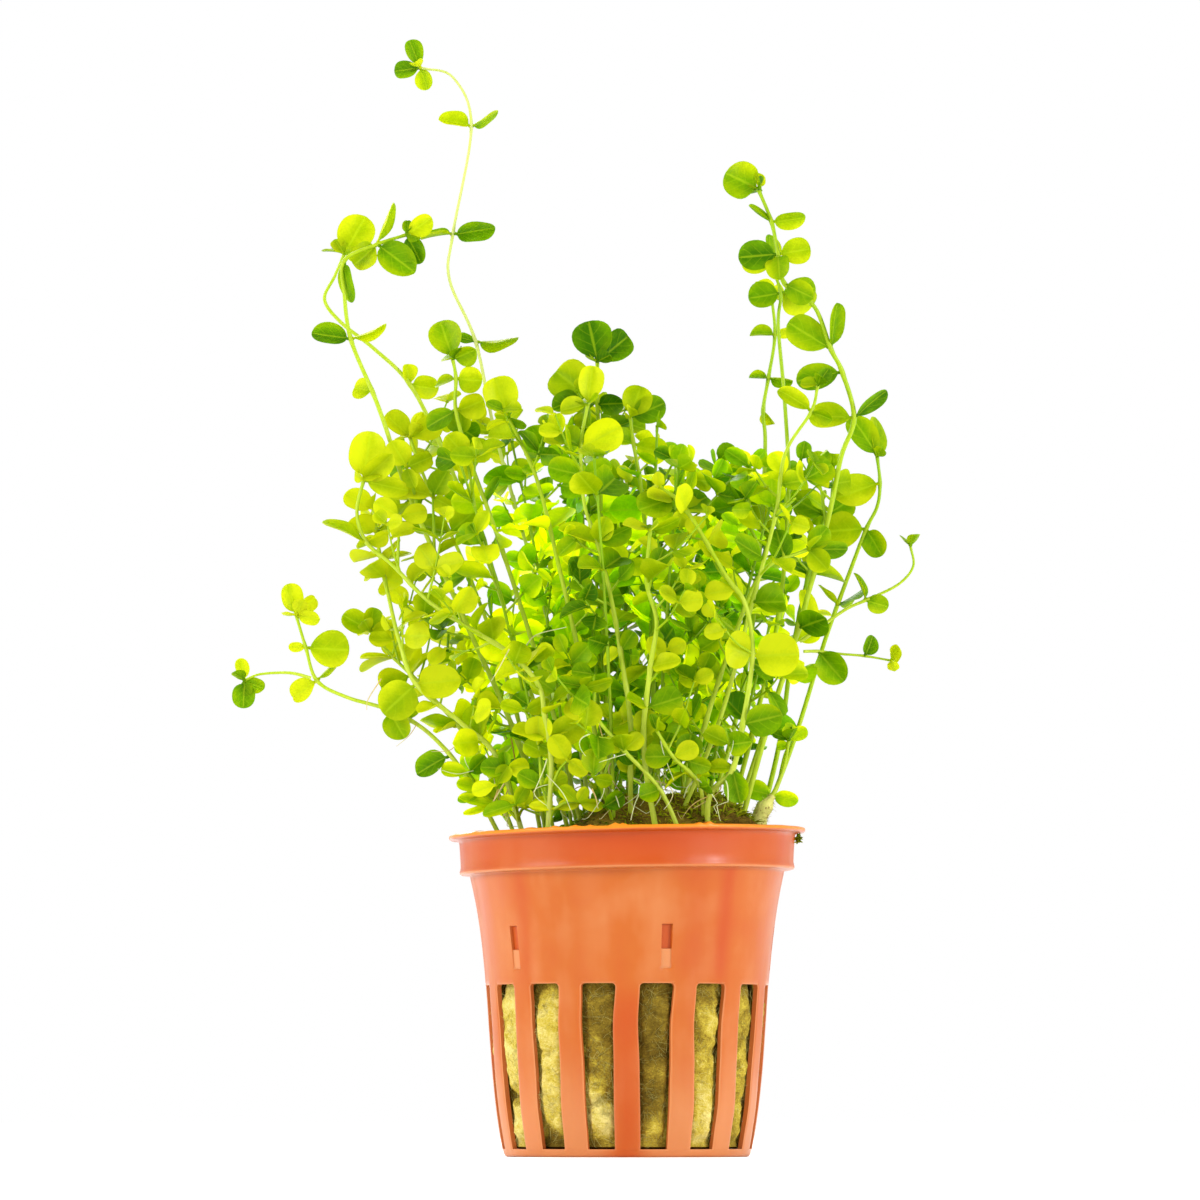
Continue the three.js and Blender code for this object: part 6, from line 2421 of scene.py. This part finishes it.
@dataclass
class HairRoots:
    """Thin pale roots that hang from the stems.

    Attributes:
        wardrobe: The finishes.
        clump: Layout of the plant.
        rng: Source of the seeded draws.
        loose: How many roots hang near the rim beside those that can be told apart.
        rim_height: Height below which a root has to stay inside the rim.
        rim_inside: Radius that is inside the rim.
    """

    wardrobe: Wardrobe
    clump: Clump
    rng: np.random.Generator
    loose: int = 70
    rim_height: float = 52.4
    rim_inside: float = 22.6

    def front_depth(self, x: float, z: float) -> float:
        """Depth of the frontmost stem near a place in the front view.

        Args:
            x: The place across.
            z: Its height.

        Returns:
            The depth.
        """
        stems = self.clump.crowd.stems
        near = stems[np.hypot(stems[:, 0] - x, stems[:, 2] - z) < 1.6]
        return float(near[:, 1].min()) if len(near) else -12.0

    def paths(self) -> Array:
        """Paths of all the roots, kept above the bed and inside the rim near the pot.

        Returns:
            Points of every path: (roots, stations, 3).
        """
        rng = self.rng
        paths = []
        for line in ROOT_LINES:
            depth = self.front_depth(*line[0])
            nodes = np.array([[x, depth - 0.9 * i, z] for i, (x, z) in enumerate(line)])
            fine = curve_points(nodes, 12)
            paths.append(fine[np.linspace(0, len(fine) - 1, 17).round().astype(int)])
        stems = self.clump.crowd.stems
        low = stems[(stems[:, 2] > 52.5) & (stems[:, 2] < 66) & (np.abs(stems[:, 0] + 4) < 19)]
        t = np.linspace(0, 1, 17)[:, None]
        for start in low[rng.integers(0, len(low), self.loose)]:
            drop = rng.uniform(2, 7)
            end = start + np.array([rng.normal(0, 2.2), rng.normal(0, 2.2), -drop])
            bend = start + np.array([rng.normal(0, 2.0), rng.normal(0, 2.0), -0.2 * drop])
            paths.append(quadratic(start, bend, end, t))
        x, y, z = np.moveaxis(np.array(paths), -1, 0)
        z = np.maximum(z, self.clump.plug.bed(x, y) + 1.2)
        share = np.where(z < self.rim_height, np.minimum(1, self.rim_inside / np.hypot(x, y)), 1.0)
        return joined(x * share, y * share, z)

    def build(self) -> None:
        """Builds the roots as thin tubes."""
        paths = self.paths()
        number, stations, _ = paths.shape
        radii = self.rng.uniform(0.07, 0.13, (number, 1)) * np.linspace(1, 0.45, stations)
        skin = Skin()
        add_tubes(skin, tube_points(paths, radii, 4), self.rng.uniform(0.15, 1.3, (number, 1)))
        self.wardrobe.hand_over(skin, "hair_roots", "foliage", Finish.ROOT)


@dataclass(frozen=True)
class LeafMould:
    """Shape of a leaf: flat closed rings carried from its stalk to its tip.

    A ring's half width is that of a blunt oval, the root of (1 - |2t - 1| to a power near 2.3), where t
    is skewed a little so that the oval is fullest near its foot or its tip. Its height is half the
    blade's thickness, falling off towards the rim as the root of (1 - v squared).

    Attributes:
        rings: Rings on the blade.
        cells: Cells across each side of the blade.
        stalk_share: Share of the length that is stalk.
        stalk_radius: Radius of the stalk.
        thickness: Thickness of the blade.
    """

    rings: int = 7
    cells: int = 4
    stalk_share: float = 0.1
    stalk_radius: float = 0.26
    thickness: float = 0.26

    def along(self) -> tuple[Array, Array]:
        """Where the rings lie.

        Returns:
            Share of the leaf's length, and share of the blade alone, which is negative on the stalk.
        """
        even = (np.arange(self.rings) + 0.45) / (self.rings + 0.1)
        blade = (1 - np.cos(math.pi * even)) / 2
        stalk = self.stalk_share
        share = np.concatenate([[-0.02, stalk * 0.75], stalk + (1 - stalk) * blade])
        return share, (share - stalk) / (1 - stalk)

    def across(self) -> tuple[Array, Array]:
        """Where the points of a ring lie.

        Returns:
            Share of the half width, and 1 on the upper side, -1 on the lower and 0 on the rim.
        """
        upper = np.linspace(1, -1, self.cells + 1)
        lower = -upper[1:-1]
        side = np.concatenate([[0], np.ones(self.cells - 1), [0], -np.ones(self.cells - 1)])
        return np.concatenate([upper, lower]), side

    def points(self, leaves: list[Leaf]) -> Array:
        """Points of leaves: each one's rings from its stalk outwards, then its tip.

        A leaf is cupped across, grooved along its midrib, curled along its length and a little wavy.

        Args:
            leaves: The leaves.

        Returns:
            The points: (leaves, points of a leaf, 3).
        """
        share, blade = self.along()
        v, side = self.across()
        number, stations, ring = len(leaves), len(share), len(v)
        length = np.array([leaf.length for leaf in leaves])[:, None, None]
        width = np.array([leaf.width for leaf in leaves])[:, None, None]
        seeds = np.array([scatter(leaf.length * 91.7, leaf.node[0] * 3.1) for leaf in leaves])
        draw = [scatter(seeds * 57.0, 3.0 + k)[:, None, None] for k in range(8)]
        t = np.clip(blade, 0, 1)
        skewed = t[None, :, None] ** (0.86 + 0.5 * draw[5])
        fullness = 2.05 + 0.5 * draw[6]
        width = width * (0.84 + 0.24 * draw[7])
        oval = 0.5 * np.sqrt(1 - np.abs(2 * skewed - 1) ** fullness) * width
        on_blade = (blade > 0)[None, :, None]
        half = np.where(on_blade, np.maximum(oval, self.stalk_radius), self.stalk_radius)
        thick = np.where(on_blade, self.thickness * (1 - 0.35 * t[None, :, None]), 2 * self.stalk_radius)
        rise = np.where(side == 0, 0, np.sqrt(1 - v * v))[None, None]
        x = share[None, :, None] * length + np.zeros((number, stations, ring))
        y = v[None, None] * half
        cup = (0.12 + 0.55 * draw[0] ** 1.5) * np.abs(v) ** 1.6 * half * np.where(on_blade, 1, 0)
        bulge = np.where(on_blade, np.sin(math.pi * t)[None, :, None], 0)
        groove = -0.10 * np.exp(-((v / 0.16) ** 2)) * bulge
        curl = (0.14 - 0.44 * draw[1]) * share[None, :, None] ** 2 * length
        wave = 0.05 * width * (draw[2] + 0.3) * v * v * np.sin(7 * t[None, :, None] + 6.3 * draw[3])
        wave = wave + 0.06 * half * v * (draw[4] - 0.5) * 2
        z = side * 0.5 * thick * rise + cup + groove + curl + np.where(on_blade, wave, 0)
        tip_z = (curl[:, -1, 0] * 1.02)[:, None]
        parts = np.array([(leaf.node, leaf.axis, leaf.face) for leaf in leaves])
        node, axis, face = parts.transpose(1, 0, 2)
        sideways = np.cross(face, axis)
        points = node[:, None, None] + axis[:, None, None] * x[..., None]
        points = points + sideways[:, None, None] * y[..., None] + face[:, None, None] * z[..., None]
        tips = node + axis * length[:, 0] + face * tip_z
        return np.concatenate([points.reshape(number, -1, 3), tips[:, None]], axis=1)

    def add(self, skin: Skin, leaves: list[Leaf], tones: Array) -> None:
        """Adds leaves to a mesh, in its first finish.

        Args:
            skin: Where they go.
            leaves: The leaves.
            tones: How light and how clear each is.
        """
        share, _ = self.along()
        v, _ = self.across()
        stations, ring = len(share), len(v)
        block = self.points(leaves)
        start = skin.place(block)
        shifts = start + (np.arange(len(leaves)) * block.shape[1])[:, None, None]
        tint = tones[:, None, None, :]
        faces = ring_faces(stations, ring)
        where, spot = np.divmod(faces, ring)
        under = (np.arange(len(faces)) % ring >= self.cells)[:, None] * 2.0
        shape = joined((v[spot] + 1) / 2, share[where] + under)
        self.cover(skin, faces, shape, shifts, tint)
        near, beside = np.arange(ring), (np.arange(ring) + 1) % ring
        base = (stations - 1) * ring
        fan = joined(base + near, base + beside, stations * ring)
        tip_under = (near >= self.cells) * 2.0
        fan_shape = np.stack([joined((v[near] + 1) / 2, share[-1] + tip_under),
                              joined((v[beside] + 1) / 2, share[-1] + tip_under),
                              joined(0.5, 1 + tip_under)], axis=1)
        self.cover(skin, fan, fan_shape, shifts, tint)
        self.cover(skin, np.arange(ring)[None, ::-1], np.zeros((1, ring, 2)), shifts, tint)

    @staticmethod
    def cover(skin: Skin, faces: Array, shape: Array, shifts: Array, tint: Array) -> None:
        """Adds one leaf's faces for every leaf.

        Args:
            skin: Where they go.
            faces: One leaf's faces.
            shape: Two values for each of their corners.
            shifts: First point of every leaf.
            tint: Two values for every leaf.
        """
        number, corners = len(shifts), faces.shape[1]
        shapes = np.broadcast_to(shape, (number, *shape.shape)).reshape(-1, corners, 2)
        tints = np.broadcast_to(tint, (number, *faces.shape, 2)).reshape(-1, corners, 2)
        skin.cover((faces + shifts).reshape(-1, corners), shapes, tints)


@dataclass
class Foliage:
    """Meshes of the shoots: stems with swollen nodes, stalks and leaves.

    Attributes:
        wardrobe: The finishes.
        clump: Layout of the plant.
        rng: Source of the seeded draws.
        sides: Sides of a stem.
        steps: Steps along a stem between two nodes.
        fine: Mould of the leaves on traced shoots.
        plain: Mould of the leaves on ordinary shoots.
    """

    wardrobe: Wardrobe
    clump: Clump
    rng: np.random.Generator
    sides: int = 8
    steps: int = 8
    fine: LeafMould = LeafMould(12, 6)
    plain: LeafMould = LeafMould(7, 4)

    def stem(self, skin: Skin, shoot: Shoot) -> None:
        """Adds a stem: a tube that thins towards its tip and swells at each leaf's node.

        Args:
            skin: Where it goes.
            shoot: The shoot or twig.
        """
        path = curve_points(shoot.nodes, self.steps)
        share = np.linspace(0, 1, len(path))
        plan = shoot.plan
        slim = plan.slim if plan else 0.84 if shoot.radius < 0.35 else 0.66
        radii = slim * shoot.radius * (1.05 - 0.4 * share)
        if shoot.leaves:
            nodes = np.array([leaf.node for leaf in shoot.leaves])
            gaps = np.linalg.norm(path[:, None] - nodes[None], axis=-1).min(axis=1)
            radii = radii + 0.2 * shoot.radius * np.exp(-((gaps / 0.8) ** 2))
        base = plan.stem_tone if plan else 0.42
        tone = np.clip(base + 0.3 * (shoot.tone - 0.5) - 0.35 * share, 0, 1)
        add_tubes(skin, tube_points(path, radii, self.sides)[None], tone[None], 1)

    def stub(self, skin: Skin, shoot: Shoot, sides: int = 16, count: int = 260) -> None:
        """Adds the old stub at a shoot's foot: a knobbly tube and its felt of short hairs.

        Args:
            skin: Where it goes.
            shoot: The shoot.
            sides: How many sides the tube has.
            count: How many hairs it has.
        """
        rng = self.rng
        path = curve_points(shoot.nodes[:3], 10)
        share = np.linspace(0, 1, len(path))
        knobs = 1.0 - 0.55 * smooth(0.75, 1.0, share) + 0.06 * np.sin(19 * share)
        radii = shoot.plan.thick_base * knobs
        rings = tube_points(path, radii, sides)
        lumps = value_noise(rings.reshape(-1, 3), 0.7, 5.0).reshape(rings.shape[:2])
        rings = path[:, None] + (rings - path[:, None]) * (1 + 0.1 * lumps)[..., None]
        add_tubes(skin, rings[None], np.zeros((1, 1)), 2)
        ring, spot = rng.integers(4, len(path) - 1, count), rng.integers(0, sides, count)
        roots = rings[ring, spot]
        ways = unit(unit(roots - path[ring]) + rng.normal(0, 0.5, (count, 3)))
        lengths, sag = rng.uniform(0.2, 0.6, count), rng.normal(0, 0.12, (count, 3))
        paths = thread_paths(roots, ways, lengths, sag, 3)
        radii = rng.uniform(0.02, 0.04, (count, 1)) * np.array([1.0, 0.9, 0.7, 0.3])
        add_tubes(skin, tube_points(paths, radii, 3), rng.uniform(0.5, 1.1, (count, 1)), 3)

    @staticmethod
    def tones(shoot: Shoot) -> Array:
        """How light each leaf is: the shoot's own tone, a draw, painted light at the left and inside the
        clump, painted shade low at the front, and a darker top.

        Args:
            shoot: The shoot.

        Returns:
            Tone of each leaf, and how much painted light brightens its colour inside the clump.
        """
        x, y, z = np.array([leaf.node for leaf in shoot.leaves]).T
        across, length = np.array([(leaf.axis[0], leaf.length) for leaf in shoot.leaves]).T
        draws = scatter(z * 7.7, across * 31 + length)
        # Outer leaves at the left are painted lighter: painted back light.
        left = 0.14 * (1 - smooth(-34, -14, x)) * smooth(56, 66, z)
        # Leaves deep inside the clump get painted light, in their tone here and in their colour in the
        # leaf finish.
        deep_in = smooth(-24, 4, y) * (1 - 0.85 * smooth(4, 20, y))
        inside = (1 - smooth(14, 32, np.abs(x - 1))) * (1 - smooth(96, 114, z)) * deep_in
        # Low leaves at the front are painted darker: painted shade near the rim.
        low = 0.3 * (1 - smooth(58, 72, z)) * smooth(-24, -12, y)
        high = 0.1 * smooth(106, 122, z)
        tones = shoot.tone + 0.8 * (draws - 0.46) + left + 0.1 * inside - low - high
        return joined(np.clip(tones, 0.02, 0.98), inside)

    def build(self) -> None:
        """Builds one piece for every shoot, with its twigs."""
        for shoot in self.clump.shoots:
            skin = Skin()
            for stem in (shoot, *shoot.twigs):
                self.stem(skin, stem)
            if shoot.plan and shoot.plan.thick_base:
                self.stub(skin, shoot)
            if shoot.leaves:
                mould = self.fine if shoot.plan else self.plain
                mould.add(skin, shoot.leaves, self.tones(shoot))
            slot = "foliage_dry" if "dry_twig" in shoot.name else "foliage"
            self.wardrobe.hand_over(skin, f"{shoot.name}_leaves", slot, Finish.LEAF, Finish.STEM,
                                    Finish.OLD_STEM, Finish.FIBRE, nodes=(f"shoot_{shoot.name}",))


# Studio

@dataclass
class Studio:
    """Floor, light and camera of the photograph's view.

    Attributes:
        aim: Point in the middle of the picture.
        eye_distance: Distance of the camera in front of the pot's axis.
        eye_height: Height of the camera.
        frame_width: Width that the picture covers at the aim.
        sensor: Width of the sensor.
        floor_half: Half of the floor's width.
        lamps: The soft lights, each [name, place, width, watts].
    """

    aim: tuple[float, float, float] = (-4.1, 0.0, 84.2)
    eye_distance: float = VIEW_DISTANCE
    eye_height: float = 6.0
    frame_width: float = 182.0
    sensor: float = 36.0
    floor_half: float = 6000.0
    lamps: tuple = (("back_light", (-250, 700, 520), 500, 5), ("front_left", (-680, -380, 380), 300, 4.9),
                    ("front_right", (700, -400, 260), 260, 4.8))

    def floor(self, wardrobe: Wardrobe) -> None:
        """Adds the floor: a wide flat sheet at the foot's height.

        Args:
            wardrobe: The finishes.
        """
        skin = Skin()
        skin.place(self.floor_half * np.array([[-1, -1, 0], [1, -1, 0], [1, 1, 0], [-1, 1, 0]]))
        skin.cover(np.array([[0, 1, 2, 3]]), np.zeros(2), np.zeros(2))
        skin.build("floor", wardrobe.take(Finish.FLOOR))

    def camera(self) -> None:
        """Adds the camera, level with the foot and looking up to the middle of the plant."""
        data = bpy.data.cameras.new("camera")
        eye = np.array([self.aim[0], -self.eye_distance, self.eye_height])
        way = np.array(self.aim) - eye
        data.sensor_width = self.sensor
        data.lens = self.sensor * float(np.linalg.norm(way)) / self.frame_width
        data.clip_start, data.clip_end = 0.05, 60.0
        camera = bpy.data.objects.new("camera", data)
        camera.location = tuple(eye * MM)
        camera.rotation_euler = (math.pi / 2 + math.atan2(way[2], math.hypot(way[0], way[1])), 0.0, 0.0)
        bpy.context.scene.collection.objects.link(camera)
        bpy.context.scene.camera = camera

    def lamp(self, name: str, place: tuple, size: float, power: float) -> None:
        """Adds a soft square light that faces the plant.

        Args:
            name: Name of the light.
            place: Where it stands.
            size: Its width.
            power: Its power in watts.
        """
        data = bpy.data.lights.new(name, "AREA")
        data.size = size * MM
        data.energy = power
        lamp = bpy.data.objects.new(name, data)
        lamp.location = tuple(np.array(place) * MM)
        x, y, z = np.array(self.aim) - np.array(place)
        lamp.rotation_euler = (math.atan2(math.hypot(x, y), -z), 0.0, math.atan2(-x, y))
        lamp.visible_camera = False
        bpy.context.scene.collection.objects.link(lamp)

    def light(self) -> None:
        """Lights the plant: a white surround, a soft light behind it and one in front on each side."""
        world = bpy.data.worlds.new("surround")
        world.use_nodes = True
        back = world.node_tree.nodes["Background"]
        back.inputs["Color"].default_value = (1, 1, 1, 1)
        back.inputs["Strength"].default_value = 1.0
        scene = bpy.context.scene
        scene.world = world
        scene.view_settings.view_transform = "Standard"
        for lamp in self.lamps:
            self.lamp(*lamp)


def main() -> None:
    """Builds every piece in order and reports it."""
    logging.basicConfig(level=logging.INFO, format="%(name)s %(message)s")
    rng = np.random.default_rng(SEED)
    wardrobe = Wardrobe()
    studio = Studio()
    studio.camera()
    studio.light()
    studio.floor(wardrobe)
    pot = NetPot(wardrobe)
    pot.build()
    plug = WoolPlug(wardrobe, pot)
    plug.build()
    fuzz = Fuzz(wardrobe, plug, rng)
    fuzz.fibres()
    fuzz.moss()
    fuzz.scrap()
    clump = Clump(plug)
    clump.build()
    HairRoots(wardrobe, clump, rng).build()
    Foliage(wardrobe, clump, rng).build()
    total = sum(len(shoot.leaves) for shoot in clump.shoots)
    log.info("%d shoots, %d leaves", len(clump.shoots), total)


if __name__ == "__main__":
    main()
